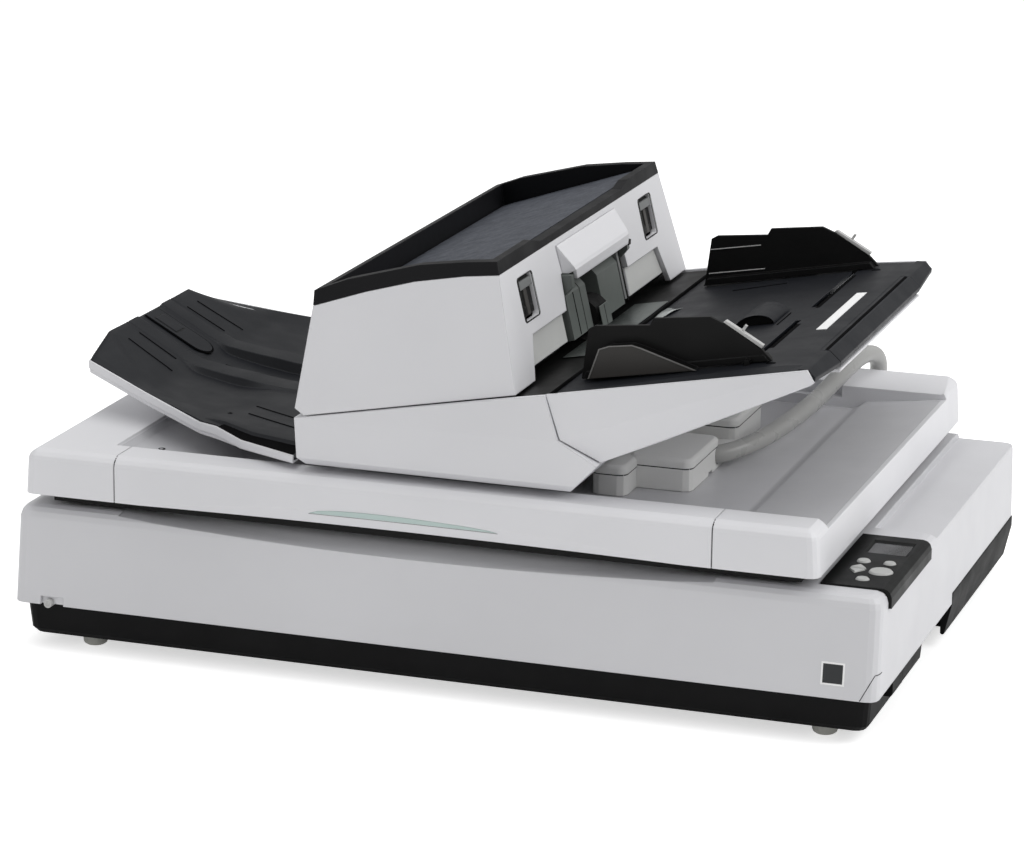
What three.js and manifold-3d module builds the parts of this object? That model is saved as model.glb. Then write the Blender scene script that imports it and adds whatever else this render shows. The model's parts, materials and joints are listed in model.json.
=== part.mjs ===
// Large flatbed scanner with a swivelling document feeder on its lid.
// Millimetres. +X points to the input hopper, +Y to the back, +Z up.
// All shapes are drawn from a point on the table under the middle of the base.
// The last lines move the finished scanner so that its footprint is centred.
import * as THREE from 'three';
import { ConvexGeometry } from 'three/addons/geometries/ConvexGeometry.js';
import { mergeVertices } from 'three/addons/utils/BufferGeometryUtils.js';
import Module from 'manifold-3d';

const wasm = await Module();
wasm.setup();

// ---------------------------------------------------------------- driving dimensions
const GAP = 0.3; // clearance between neighbouring pieces
const WALL = 3; // moulded wall thickness

const FOOT = { radius: 10, height: 9.8 };
const FEET = {
  front_left: [-298, -222], front_right: [310, -222],
  rear_left: [-298, 222], rear_right: [325, 218],
};
const PAN = { halfX: 349, halfY: 244.5, bottom: 10, top: 37.7, taper: 2, corner: 8, wall: 3 };
const HANDHOLD = { x: 318, front: -64, back: 30, bevel: 22 };
const BASE = { halfX: 356, front: -252.5, back: 252, bottom: 38, top: 116.5, corner: 9, roof: 106,
  slope: 10, backSlope: 4.3 };
const STRIP = { left: 302, front: -62, top: 110.5 };
const PANEL = { left: 302, front: -220, back: -85, right: 357.5, top: 118, floor: 110, skirt: 103 };
const LCD = { left: 316, right: 347, front: -131, back: -100, face: 116.6, floor: 113.2 };
const KEY = { bottom: 110.9, top: 119.2, corner: 1.2 };
const GLASS = { left: -245, right: 207, halfY: 162, bottom: 112.2, top: 116.2, lip: 6 };
const ROD = { y: 130, z: 72, radius: 5, left: -334, right: 312 };
const BELT = { y: 176, z: 76, left: -300, right: 285, radius: 8, thick: 1.4, height: 6, shaft: 25 };
const LOCK = { left: -332, right: -312, x: -324.7, z: 39.5, radius: 4.6 };
const SCAN = { left: -290, right: -240, halfY: 150, bottom: 84, top: 105 };

const LID = { left: -347, right: 307, front: -247, back: 246, bottom: 128, corner: 8, edge: 8 };
const RAIL_TOP = 165; // top of the lid's front rail
const REAR_TOP = 167; // top of the lid's rear rim
const FLOOR = 143; // sunken lid floor
const HINGE = { y: 236, z: 122.3, radius: 4.3, pin: 1.8 };
const SEAMS = { left: -268, right: 224 }; // seams that divide the end caps from the middle
const MID_X = -19; // axis of the swivel

const DECK = { top: 152, left: -152, right: 167, halfY: 64 };
const BLOCK_TOP = 169.3;
const RING = { inner: 46, outer: 60, top: 160.5 };
const CABLE = { radius: 7.5, steps: 26 };
const SOCKET = { x: 158, y: -30, z: 155 }; // where the cable leaves the carriage
const SLIDE_RAIL = { y: 52, half: 5.5, height: 3, left: -150, right: 164 };

const BELLY = 171; // underside of the feeder and the stacker
const PATH_SLOPE = 0.18; // fall of the paper path from the mouth to the exit

// ---------------------------------------------------------------- materials
function material(color, roughness, metalness = 0) {
  return new THREE.MeshStandardMaterial({ color, roughness, metalness });
}
const white = material(0xe2e2e2, 0.45);
const warmGrey = material(0xb9b8b2, 0.5);
const lightGrey = material(0xb5b5b0, 0.5);
const black = material(0x1a1a1b, 0.5);
const charcoal = material(0x383a3e, 0.55);
const matGrey = material(0x4a4c50, 0.85);
const plateGrey = material(0x6d716f, 0.4, 0.5);
const steel = material(0xa8abae, 0.35, 1);
const rubber = material(0x2a2a2a, 0.9);
const glass = material(0xcfdedc, 0.05);
const screen = material(0x3c3a3b, 0.15);
const green = material(0x1f5a3a, 0.6);

// ---------------------------------------------------------------- solids and booleans
function toManifold(geometry) {
  const bare = new THREE.BufferGeometry();
  bare.setAttribute('position', geometry.getAttribute('position').clone());
  if (geometry.index) bare.setIndex(geometry.index.clone());
  const merged = mergeVertices(bare, 1e-4);
  const vertProperties = Float32Array.from(merged.getAttribute('position').array);
  const triVerts = Uint32Array.from(merged.index.array);
  return new wasm.Manifold(new wasm.Mesh({ numProp: 3, vertProperties, triVerts }));
}

function toGeometry(manifold) {
  const mesh = manifold.getMesh();
  const geometry = new THREE.BufferGeometry();
  geometry.setAttribute('position', new THREE.BufferAttribute(mesh.vertProperties, 3));
  geometry.setIndex(new THREE.BufferAttribute(mesh.triVerts, 1));
  return geometry;
}

function cut(body, ...tools) {
  const rest = tools.reduce((left, tool) => left.subtract(toManifold(tool)), toManifold(body));
  return toGeometry(rest);
}

function join(first, ...others) {
  const sum = others.reduce((left, other) => left.add(toManifold(other)), toManifold(first));
  return toGeometry(sum);
}

function common(first, second) {
  return toGeometry(toManifold(first).intersect(toManifold(second)));
}

function mirrorY(geometry) {
  const mirrored = geometry.clone();
  mirrored.applyMatrix4(new THREE.Matrix4().makeScale(1, -1, 1));
  const index = mirrored.index ? Array.from(mirrored.index.array) : null;
  const order = index ?? Array.from({ length: mirrored.getAttribute('position').count }, (_, i) => i);
  for (let i = 0; i < order.length; i += 3) {
    [order[i + 1], order[i + 2]] = [order[i + 2], order[i + 1]];
  }
  mirrored.setIndex(order);
  return mirrored;
}

function box(x0, x1, y0, y1, z0, z1) {
  const shape = new THREE.BoxGeometry(x1 - x0, y1 - y0, z1 - z0);
  return shape.translate((x0 + x1) / 2, (y0 + y1) / 2, (z0 + z1) / 2);
}

function hull(points) {
  return new ConvexGeometry(points.map(([x, y, z]) => new THREE.Vector3(x, y, z)));
}

function extrude(outline, depth) {
  const shape = new THREE.Shape(outline.map(([u, v]) => new THREE.Vector2(u, v)));
  return new THREE.ExtrudeGeometry(shape, { depth, bevelEnabled: false, curveSegments: 8 });
}

const AXES = {
  x: new THREE.Vector3(1, 0, 0),
  y: new THREE.Vector3(0, 1, 0),
  z: new THREE.Vector3(0, 0, 1),
};

// outline of [x, z] corners, from y0 to y1
function prismY(outline, y0, y1) {
  return extrude(outline, y1 - y0).rotateX(Math.PI / 2).translate(0, y1, 0);
}

// outline of [y, z] corners, from x0 to x1
function prismX(outline, x0, x1) {
  const turn = new THREE.Matrix4().makeBasis(AXES.y, AXES.z, AXES.x);
  return extrude(outline, x1 - x0).applyMatrix4(turn).translate(x0, 0, 0);
}

// outline of [x, y] corners, from z0 to z1
function prismZ(outline, z0, z1) {
  return extrude(outline, z1 - z0).translate(0, 0, z0);
}

function cylinder(axis, radius, from, to, sides = 16) {
  const shape = new THREE.CylinderGeometry(radius, radius, to - from, sides);
  if (axis === 'x') shape.rotateZ(-Math.PI / 2).translate((from + to) / 2, 0, 0);
  if (axis === 'y') shape.translate(0, (from + to) / 2, 0);
  if (axis === 'z') shape.rotateX(Math.PI / 2).translate(0, 0, (from + to) / 2);
  return shape;
}

// a round body turned about Y from [radius, y] steps that start and end on the axis
function turned(profile, sides = 16) {
  return new THREE.LatheGeometry(profile.map(([r, y]) => new THREE.Vector2(r, y)), sides);
}

function roundedRectangle(x0, x1, y0, y1, radius, steps = 3) {
  const centres = [[x1 - radius, y1 - radius], [x0 + radius, y1 - radius],
    [x0 + radius, y0 + radius], [x1 - radius, y0 + radius]];
  return centres.flatMap(([cx, cy], corner) => Array.from({ length: steps + 1 }, (_, i) => {
    const angle = (corner + i / steps) * Math.PI / 2;
    return [cx + radius * Math.cos(angle), cy + radius * Math.sin(angle)];
  }));
}

// convex block with rounded upright corners and a rounded top edge
function softBlock(x0, x1, y0, y1, z0, z1, corner, edge, steps = 3) {
  const points = roundedRectangle(x0, x1, y0, y1, corner, steps).map(([x, y]) => [x, y, z0]);
  for (let i = 0; i <= steps; i += 1) {
    const angle = i / steps * Math.PI / 2;
    const inset = edge * (1 - Math.cos(angle));
    const z = z1 - edge + edge * Math.sin(angle);
    const radius = Math.max(corner - inset, 0.5);
    const ring = roundedRectangle(x0 + inset, x1 - inset, y0 + inset, y1 - inset, radius, steps);
    points.push(...ring.map(([x, y]) => [x, y, z]));
  }
  return hull(points);
}

// Sheet whose upper side is a grid of points and whose lower side is drop below it.
// Rows follow one another along +X, and the points of a row run along +Y.
function sheet(rows, drop, lowest = -Infinity) {
  const columns = rows[0].length;
  const upper = rows.flat();
  const lower = upper.map(([x, y, z]) => [x, y, Math.max(z - drop, lowest)]);
  const positions = [...upper, ...lower].flat();
  const index = [];
  const quad = (a, b, c, d) => index.push(a, b, c, a, c, d);
  const at = (row, column) => row * columns + column;
  const under = upper.length;
  for (let r = 0; r + 1 < rows.length; r += 1) {
    for (let c = 0; c + 1 < columns; c += 1) {
      quad(at(r, c), at(r + 1, c), at(r + 1, c + 1), at(r, c + 1));
      quad(under + at(r, c), under + at(r, c + 1), under + at(r + 1, c + 1), under + at(r + 1, c));
    }
  }
  const rim = [];
  for (let c = 0; c + 1 < columns; c += 1) rim.push(at(0, c));
  for (let r = 0; r + 1 < rows.length; r += 1) rim.push(at(r, columns - 1));
  for (let c = columns - 1; c > 0; c -= 1) rim.push(at(rows.length - 1, c));
  for (let r = rows.length - 1; r > 0; r -= 1) rim.push(at(r, 0));
  rim.forEach((a, i) => {
    const b = rim[(i + 1) % rim.length];
    quad(a, b, under + b, under + a);
  });
  const geometry = new THREE.BufferGeometry();
  geometry.setAttribute('position', new THREE.Float32BufferAttribute(positions, 3));
  geometry.setIndex(index);
  return geometry;
}

function interpolate(table, x) {
  const last = table.length - 1;
  const i = table.findIndex(([at], k) => k === last || x <= table[k + 1][0]);
  const [x0, v0] = table[Math.min(i, last - 1)];
  const [x1, v1] = table[Math.min(i, last - 1) + 1];
  return v0 + (v1 - v0) * (x - x0) / (x1 - x0);
}

// corners [x, z, half width] of a body that is the same on both sides of y = 0
function twoSided(corners) {
  return hull(corners.flatMap(([x, z, half]) => [[x, half, z], [x, -half, z]]));
}

function named(name, geometry, finish, position = [0, 0, 0]) {
  const mesh = new THREE.Mesh(geometry, finish);
  mesh.name = name;
  mesh.position.set(...position);
  return mesh;
}

// ---------------------------------------------------------------- base
function basePan() {
  const t = PAN.taper;
  const layer = (inset, z) => {
    const [halfX, halfY] = [PAN.halfX - inset, PAN.halfY - inset];
    return roundedRectangle(-halfX, halfX, -halfY, halfY, PAN.corner).map(([x, y]) => [x, y, z]);
  };
  const outer = hull([...layer(t + 3, PAN.bottom), ...layer(t, PAN.bottom + 4), ...layer(0, PAN.top)]);
  const inner = hull([...layer(t + PAN.wall + 2, PAN.bottom + PAN.wall), ...layer(PAN.wall, PAN.top + 5)]);
  const grip = (grow) => [1, -1].map((side) => {
    const near = HANDHOLD.front - grow;
    const far = HANDHOLD.back + grow;
    const roof = far + HANDHOLD.bevel;
    const outline = [[near, 0], [near, 60], [roof, 60], [roof, 34], [far, 12], [far, 0]];
    const [x0, x1] = side > 0 ? [HANDHOLD.x - grow, 400] : [-400, -HANDHOLD.x + grow];
    return prismX(outline, x0, x1);
  });
  const cavity = cut(inner, ...grip(PAN.wall));
  const post = (x, y, top) => box(x - 5, x + 5, y - 12, y + 12, PAN.bottom + 1, top);
  const rodPosts = [ROD.left + 4, ROD.right - 4].map((x) => post(x, ROD.y, ROD.z + 10));
  const railPosts = [-325, 295].map((x) => post(x, -130, 59.7));
  const rail = box(-331, 301, -136, -124, 59, 66);
  const idlerPost = cylinder('z', 9, PAN.bottom + 1, BELT.z - 14, 14).translate(BELT.right, BELT.y, 0);
  const boardPosts = [70, 250].flatMap((x) => [-90, 50].map((y) => box(x - 4, x + 4, y - 4, y + 4, 12, 16.7)));
  const body = join(cut(outer, cavity, ...grip(0)), ...rodPosts, ...railPosts, rail, idlerPost, ...boardPosts);
  const rodBore = cylinder('x', ROD.radius + GAP, -345, 345).translate(0, ROD.y, ROD.z);
  const idlerBore = cylinder('z', 3 + GAP, BELT.z - 27, 90, 14).translate(BELT.right, BELT.y, 0);
  return cut(body, rodBore, idlerBore);
}

function baseSection(z, inset, radius) {
  const rise = (z - BASE.bottom) / (BASE.top - BASE.bottom);
  const half = BASE.halfX - rise - inset;
  const front = BASE.front + BASE.slope * rise + inset;
  const back = BASE.back - BASE.backSlope * rise - inset;
  return roundedRectangle(-half, half, front, back, radius).map(([x, y]) => [x, y, z]);
}

function panelPocket() {
  const left = PANEL.left - GAP;
  const edge = PANEL.right - 6;
  const beyond = PANEL.right + 10;
  const above = PANEL.top + 5;
  const [floor, skirt] = [PANEL.floor - GAP, PANEL.skirt - GAP];
  const outline = [[left, floor], [edge, floor], [edge, skirt], [beyond, skirt], [beyond, above], [left, above]];
  return prismY(outline, PANEL.front - GAP, PANEL.back + GAP);
}

function baseCover() {
  const shoulder = 9;
  const rings = [[BASE.bottom, 0], [BASE.top - shoulder, 0], [BASE.top - 4.5, 1.2], [BASE.top - 1.4, 4],
    [BASE.top, shoulder]];
  const outer = hull(rings.flatMap(([z, inset]) => baseSection(z, inset, BASE.corner - inset / 2)));
  const inner = hull([...baseSection(BASE.bottom - 5, WALL, 6), ...baseSection(BASE.roof - 8, WALL, 6),
    ...baseSection(BASE.roof, 4 * WALL, 6)]);
  const opening = (inset, floor) => {
    const half = GLASS.halfY - inset;
    return box(GLASS.left + inset, GLASS.right - inset, -half, half, floor, 130);
  };
  const window = opening(GLASS.lip, 90);
  const rebate = opening(-GAP, GLASS.bottom - GAP);
  const stripOutline = [[STRIP.front, BASE.top + 5], [STRIP.front, BASE.top], [STRIP.front + 9, STRIP.top],
    [BASE.back + 9, STRIP.top], [BASE.back + 9, BASE.top + 5]];
  const strip = prismX(stripOutline, STRIP.left + 4, 380);
  const lockSlot = box(LOCK.left, LOCK.right, BASE.front - 4, -235, BASE.bottom - 1, LOCK.z + 5.2);
  return cut(outer, inner, window, rebate, strip, baseScoop(), panelPocket(), lockSlot);
}

// shallow hollow along the front edge, deepest in the middle, that lets fingers under the lid
function baseScoop() {
  const middle = (SEAMS.left + SEAMS.right) / 2;
  const half = (SEAMS.right - SEAMS.left) / 2;
  const edge = BASE.front + BASE.slope;
  const points = [];
  for (let i = -5; i <= 5; i += 1) {
    const x = middle + half * i / 5;
    const depth = 2 + 7.5 * (1 - (i / 5) ** 2);
    points.push([x, edge - 12, BASE.top - depth - 1.5], [x, edge, BASE.top - depth]);
    points.push([x, edge - 12, BASE.top + 2], [x, edge + 28, BASE.top + 0.5]);
  }
  return hull(points);
}

function foot() {
  const { radius, height } = FOOT;
  return turned([[0, 0], [7.5, 0], [9.2, 1.2], [radius, 3.2], [radius, height], [0, height]], 20).rotateX(Math.PI / 2);
}

function glassPlate() {
  return box(GLASS.left, GLASS.right, -GLASS.halfY, GLASS.halfY, GLASS.bottom, GLASS.top);
}

function keyOutline(kind, width, depth) {
  if (kind === 'oval') {
    return Array.from({ length: 20 }, (_, i) => {
      const angle = i / 20 * 2 * Math.PI;
      return [width / 2 * Math.cos(angle), depth / 2 * Math.sin(angle)];
    });
  }
  const tip = kind === 'up' ? 1 : -1;
  const corners = [[-width / 2, -tip * depth / 2], [width / 2, -tip * depth / 2], [0, tip * depth / 2]];
  return tip > 0 ? corners : corners.reverse();
}

const KEYS = [
  { name: 'key_menu', kind: 'oval', at: [320, -156], size: [11, 11] },
  { name: 'key_up', kind: 'up', at: [320.5, -171.5], size: [13, 9.5] },
  { name: 'key_down', kind: 'down', at: [320.5, -183.5], size: [13, 9.5] },
  { name: 'key_stop', kind: 'oval', at: [330, -201], size: [11, 10] },
  { name: 'key_start', kind: 'oval', at: [339, -179], size: [19, 19] },
  { name: 'key_function', kind: 'oval', at: [340.5, -156], size: [10, 10] },
];

function keyCap({ kind, size }) {
  const [width, depth] = size;
  const low = keyOutline(kind, width, depth).map(([x, y]) => [x, y, 0]);
  const height = KEY.top - KEY.bottom;
  const shoulder = low.map(([x, y]) => [x, y, height - KEY.corner]);
  const crown = keyOutline(kind, width - 2 * KEY.corner, depth - 2 * KEY.corner).map(([x, y]) => [x, y, height]);
  return hull([...low, ...shoulder, ...crown]);
}

function panelBezel() {
  const { left, right, top, floor, skirt } = PANEL;
  const outline = [[left, floor], [right - 5.5, floor], [right - 5.5, skirt], [right, skirt], [right, top - 7],
    [right - 1.2, top - 3.2], [right - 3.4, top - 1], [right - 7, top], [left, top]];
  const holes = KEYS.map(({ kind, at, size }) => {
    const grown = keyOutline(kind, size[0] + 4 * GAP, size[1] + 4 * GAP);
    return prismZ(grown.map(([x, y]) => [x + at[0], y + at[1]]), floor - 1, top + 1);
  });
  const screenWell = box(LCD.left, LCD.right, LCD.front, LCD.back, LCD.floor, LCD.face);
  const bevel = hull([[LCD.left, LCD.right, LCD.front, LCD.back, LCD.face - 0.1],
    [LCD.left - 3, LCD.right + 2, LCD.front - 3, LCD.back + 4, top + 1]]
    .flatMap(([x0, x1, y0, y1, z]) => [[x0, y0, z], [x1, y0, z], [x0, y1, z], [x1, y1, z]]));
  return cut(prismY(outline, PANEL.front, PANEL.back), screenWell, bevel, ...holes);
}

function lcdScreen() {
  return box(LCD.left + GAP, LCD.right - GAP, LCD.front + GAP, LCD.back - GAP, LCD.floor + GAP, LCD.face);
}

function transportLock() {
  const knob = cylinder('y', LOCK.radius, BASE.front - 3.5, BASE.front + 3, 14);
  const stem = box(-2, 2, BASE.front + 2, BASE.front + 12, -1.5, 1.5);
  return join(knob, stem);
}

function scanCarriage() {
  const { left, right, halfY, bottom, top } = SCAN;
  const bar = softBlock(left, right, -halfY, halfY, bottom, top, 4, 3, 1);
  const sleeve = box(left + 8, right - 8, ROD.y - 12, ROD.y + 12, ROD.z - 9, bottom + 1);
  const shoe = box(left + 12, right - 12, -137, -123, 66.3, bottom + 1);
  const arm = box(left + 15, right - 15, halfY - 1, BELT.y - BELT.radius - 2.4, BELT.z - 3, bottom + 6);
  const bore = cylinder('x', ROD.radius + GAP, left, right).translate(0, ROD.y, ROD.z);
  const slot = box(left + 20, left + 30, -142, 142, top - 3, top + 1);
  return cut(join(bar, sleeve, shoe, arm), bore, slot);
}

function driveBelt() {
  const loop = (radius) => {
    const half = (x, turn) => Array.from({ length: 9 }, (_, i) => {
      const angle = turn - Math.PI / 2 + i / 8 * Math.PI;
      return [x + radius * Math.cos(angle), BELT.y + radius * Math.sin(angle)];
    });
    return [...half(BELT.right, 0), ...half(BELT.left, Math.PI)];
  };
  const z0 = BELT.z - BELT.height / 2;
  const z1 = BELT.z + BELT.height / 2;
  const inside = BELT.radius + GAP;
  return cut(prismZ(loop(inside + BELT.thick), z0, z1), prismZ(loop(inside), z0 - 1, z1 + 1));
}

function pulley() {
  const r = BELT.radius;
  return turned([[0, -BELT.shaft], [3, -BELT.shaft], [3, -5], [r + 2.5, -5], [r + 2.5, -3.4], [r, -3.4],
    [r, 3.4], [r + 2.5, 3.4], [r + 2.5, 5], [0, 5]], 14).rotateX(Math.PI / 2);
}

function driveMotor() {
  const can = cylinder('z', 20, PAN.bottom + PAN.wall + GAP, BELT.z - 14, 20);
  const flange = box(-24, 24, -24, 24, BELT.z - 14.5, BELT.z - 12);
  const socket = cylinder('z', 3 + GAP, BELT.z - 40, BELT.z, 14);
  return cut(join(can, flange), socket);
}

function circuitBoard() {
  const parts = [[80, -60, 40, 40, 3], [140, -40, 50, 50, 5], [210, -70, 30, 60, 12], [90, 10, 60, 20, 8],
    [190, 25, 40, 14, 10]];
  const chips = parts.map(([x, y, w, d, h]) => box(x, x + w, y, y + d, 18, 18.5 + h));
  return join(box(60, 260, -100, 60, 17, 18.6), ...chips);
}

function hingeBracket() {
  const { y, z, radius, pin } = HINGE;
  const knuckle = cylinder('x', radius, -22, -2, 16).translate(0, y, z);
  const foot = box(-22, -2, y - 26, y + 3, BASE.top + GAP, z - 2);
  const shaft = cylinder('x', pin, -4, 21, 12).translate(0, y, z);
  return join(knuckle, foot, shaft);
}

function hingeLeaf() {
  const { y, z, radius, pin } = HINGE;
  const knuckle = cylinder('x', radius, -1.5, 20, 16).translate(0, y, z);
  const leaf = box(-1.5, 20, y - 27, y + 1, z + 1.8, LID.bottom - GAP);
  const bore = cylinder('x', pin + GAP, -3, 22, 12).translate(0, y, z);
  return cut(join(knuckle, leaf), bore);
}

function buildBase() {
  const base = new THREE.Group();
  base.add(named('base_pan', basePan(), black));
  base.add(named('base_cover', baseCover(), white));
  base.add(named('flatbed_glass', glassPlate(), glass));
  for (const [corner, [x, y]] of Object.entries(FEET)) {
    base.add(named(`foot_${corner}`, foot(), lightGrey, [x, y, 0]));
  }
  base.add(named('panel_bezel', panelBezel(), black));
  base.add(named('lcd_screen', lcdScreen(), screen));
  for (const key of KEYS) base.add(named(key.name, keyCap(key), lightGrey, [...key.at, KEY.bottom]));
  base.add(named('transport_lock', transportLock(), lightGrey, [LOCK.x, 0, LOCK.z]));
  base.add(named('guide_rod', cylinder('x', ROD.radius, ROD.left - 4, ROD.right + 4), steel, [0, ROD.y, ROD.z]));
  base.add(named('scan_carriage', scanCarriage(), black));
  base.add(named('drive_motor', driveMotor(), steel, [BELT.left, BELT.y, 0]));
  base.add(named('drive_belt', driveBelt(), rubber));
  base.add(named('drive_pulley', pulley(), steel, [BELT.left, BELT.y, BELT.z]));
  base.add(named('idler_pulley', pulley(), steel, [BELT.right, BELT.y, BELT.z]));
  base.add(named('circuit_board', circuitBoard(), green));
  for (const [side, x] of [['left', -230], ['right', 192]]) {
    base.add(named(`hinge_bracket_${side}`, hingeBracket(), steel, [x, 0, 0]));
  }
  return base;
}

// ---------------------------------------------------------------- lid
function gripScoop() {
  const span = { left: SEAMS.left + 1, right: SEAMS.right - 2, height: 15.5, depth: 8 };
  const middle = (span.left + span.right) / 2;
  const half = (span.right - span.left) / 2;
  const points = [];
  for (let i = -5; i <= 5; i += 1) {
    const x = middle + half * i / 5;
    const bulge = 1 - (i / 5) ** 2;
    points.push([x, LID.front - 2, LID.bottom - 2]);
    points.push([x, LID.front - 2, LID.bottom - 0.5 + (span.height + 2.5) * bulge]);
    points.push([x, LID.front + span.depth * bulge, LID.bottom - 2]);
  }
  return hull(points);
}

function lidShell() {
  const { left, right, front, back, bottom, corner, edge } = LID;
  const low = roundedRectangle(left, right, front, back, corner).map(([x, y]) => [x, y, bottom]);
  const rings = [[0, 0], [0.35, 0.13], [0.7, 0.5], [1, 1]].flatMap(([rise, share]) => {
    const inset = edge * share;
    const radius = Math.max(corner - inset, 1);
    const ring = roundedRectangle(left + 2 + inset, right - 2 - inset, front + inset, back - inset, radius);
    return ring.map(([x, y]) => [x, y, RAIL_TOP - edge + edge * rise + (y > 0 ? REAR_TOP - RAIL_TOP : 0)]);
  });
  const outer = hull([...low, ...rings]);
  const well = prismY([[-283, 175], [-281, RAIL_TOP - 1], [-277, 157.5], [-212, 150], [-202, FLOOR],
    [222, FLOOR], [229, 145], [236, 150], [299, 157.5], [310, 158.5], [310, 175]], -212, 192);
  const rearSlope = prismX([[191, 175], [191, 162], [198, 163.2], [236, REAR_TOP], [236, 175]], -283, 302);
  const ledge = box(-250, 214, 189, 200, 152, 175);
  const under = hull([
    ...roundedRectangle(left + 4, right - 4, front + 12, back - 4, 6).map(([x, y]) => [x, y, bottom - 5]),
    ...roundedRectangle(left + 6, right - 6, front + 14, back - 5, 6).map(([x, y]) => [x, y, FLOOR - WALL])]);
  const seams = [SEAMS.left, SEAMS.right].flatMap((x) => [
    box(x - 0.5, x + 0.5, front - 3, front + 1.6, bottom - 3, 175),
    box(x - 0.5, x + 0.5, front - 3, -211, RAIL_TOP - 1.3, 175)]);
  const slideRails = [-1, 1].map((side) => {
    const y = side * SLIDE_RAIL.y;
    const top = FLOOR + SLIDE_RAIL.height;
    return box(SLIDE_RAIL.left, SLIDE_RAIL.right, y - SLIDE_RAIL.half, y + SLIDE_RAIL.half, FLOOR - 1, top);
  });
  return join(cut(outer, well, rearSlope, ledge, under, gripScoop(), ...seams), ...slideRails);
}

function lidFrame() {
  const plate = box(-328, 290, -231, 204, 119.6, FLOOR - WALL - 1);
  return cut(plate, box(-300, 262, -200, 180, 127, 160));
}

function buildLid() {
  const lid = new THREE.Group();
  lid.add(named('lid_shell', lidShell(), white));
  lid.add(named('lid_frame', lidFrame(), black));
  lid.add(named('backing_pad', box(-242, 204, -159, 159, 116.7, 119.3), white));
  for (const [side, x] of [['left', -230], ['right', 192]]) {
    lid.add(named(`hinge_leaf_${side}`, hingeLeaf(), steel, [x, 0, 0]));
  }
  return lid;
}

// ---------------------------------------------------------------- sliding carriage
const CARRIAGE_BLOCKS = [
  // [x0, x1, y0, y1, top] of the blocks behind the middle; the same stand in front of it
  [115, 167, 26, 108, BLOCK_TOP],
  [93, 122, 92, 138, BLOCK_TOP - 1.5],
  [-152, -104, 26, 108, BLOCK_TOP],
  [-111, -88, 92, 138, BLOCK_TOP - 1.5],
];

function slideCarriage() {
  const low = FLOOR + 0.6;
  const deck = softBlock(DECK.left, DECK.right, -DECK.halfY, DECK.halfY, low, DECK.top, 8, 2, 2);
  const behind = CARRIAGE_BLOCKS.map(([x0, x1, y0, y1, top]) => softBlock(x0, x1, y0, y1, low, top, 7, 3, 2));
  const grooves = [-1, 1].map((side) => {
    const half = SLIDE_RAIL.half + GAP;
    const y = side * SLIDE_RAIL.y;
    return box(DECK.left - 5, DECK.right + 5, y - half, y + half, FLOOR - 1, FLOOR + SLIDE_RAIL.height + GAP);
  });
  const hub = cylinder('z', RING.inner + GAP, FLOOR - 1, 180, 32).translate(MID_X, 0, 0);
  const socket = cylinder('x', CABLE.radius + 1.1, SOCKET.x - 1, DECK.right + 3).translate(0, SOCKET.y, SOCKET.z);
  return cut(join(deck, ...behind, ...behind.map(mirrorY)), ...grooves, hub, socket);
}

function turntableRing() {
  const bore = RING.inner + 1;
  const bottom = DECK.top + GAP;
  const profile = [[bore, bottom], [RING.outer, bottom], [RING.outer, RING.top], [bore, RING.top], [bore, bottom]];
  return turned(profile, 32).rotateX(Math.PI / 2);
}

// grey cable from the carriage over the rear rim of the lid
function cablePath() {
  const { x, y, z } = SOCKET;
  const points = [[x, y, z], [x + 10, y, z], [180, -15, 156.5], [191, 14, 158.5], [199, 55, 160.5],
    [203.5, 105, 161.5], [206, 150, 163], [212, 184, 171], [219, 214, 178.5], [224, 232, 181], [229, 246, 178],
    [231, 254, 168], [230, 257, 150]];
  return new THREE.CatmullRomCurve3(points.map((point) => new THREE.Vector3(...point)));
}

function cable() {
  const circle = Array.from({ length: 12 }, (_, i) => {
    const angle = i / 12 * 2 * Math.PI;
    return new THREE.Vector2(CABLE.radius * Math.cos(angle), CABLE.radius * Math.sin(angle));
  });
  const options = { extrudePath: cablePath(), steps: CABLE.steps, curveSegments: 1 };
  return new THREE.ExtrudeGeometry(new THREE.Shape(circle), options);
}

function lockLever() {
  const hub = cylinder('z', 8, DECK.top + GAP, 160, 16);
  const arm = hull([[-6, -4, 156], [6, -4, 156], [-6, -4, 160], [6, -4, 160], [14, -26, 158], [24, -26, 158],
    [14, -26, 163], [24, -26, 163]]);
  const tab = softBlock(12, 27, -36, -24, 158, 169, 3, 2, 2);
  return join(hub, arm, tab);
}

function buildCarriage() {
  const carriage = new THREE.Group();
  carriage.add(named('slide_carriage', slideCarriage(), warmGrey));
  carriage.add(named('turntable_ring', turntableRing(), steel, [MID_X, 0, 0]));
  carriage.add(named('cable', cable(), warmGrey));
  carriage.add(named('lock_lever', lockLever(), warmGrey, [84, -48, 0]));
  return carriage;
}

// ---------------------------------------------------------------- feeder, lower half
const flare = (z) => 208.8 + (341.3 - z) * 0.228; // half width of the upper cover
const face = (z) => 38 + (342 - z) * 0.24; // front face of the upper cover
const MOUTH = { x: 86, sill: 236, hopperStart: 86.6 }; // where the hopper meets the feeder
const path = (x) => 243 + PATH_SLOPE * (x - 61.5); // height of the paper path
const FEED_ROLLERS = { x: 8, radius: 9 };
const EXIT_ROLLERS = { x: -84, radius: 8 };
const PICK = { x: 48, y: -12, lift: 16.5 }; // pick roller over the separator roller

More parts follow.
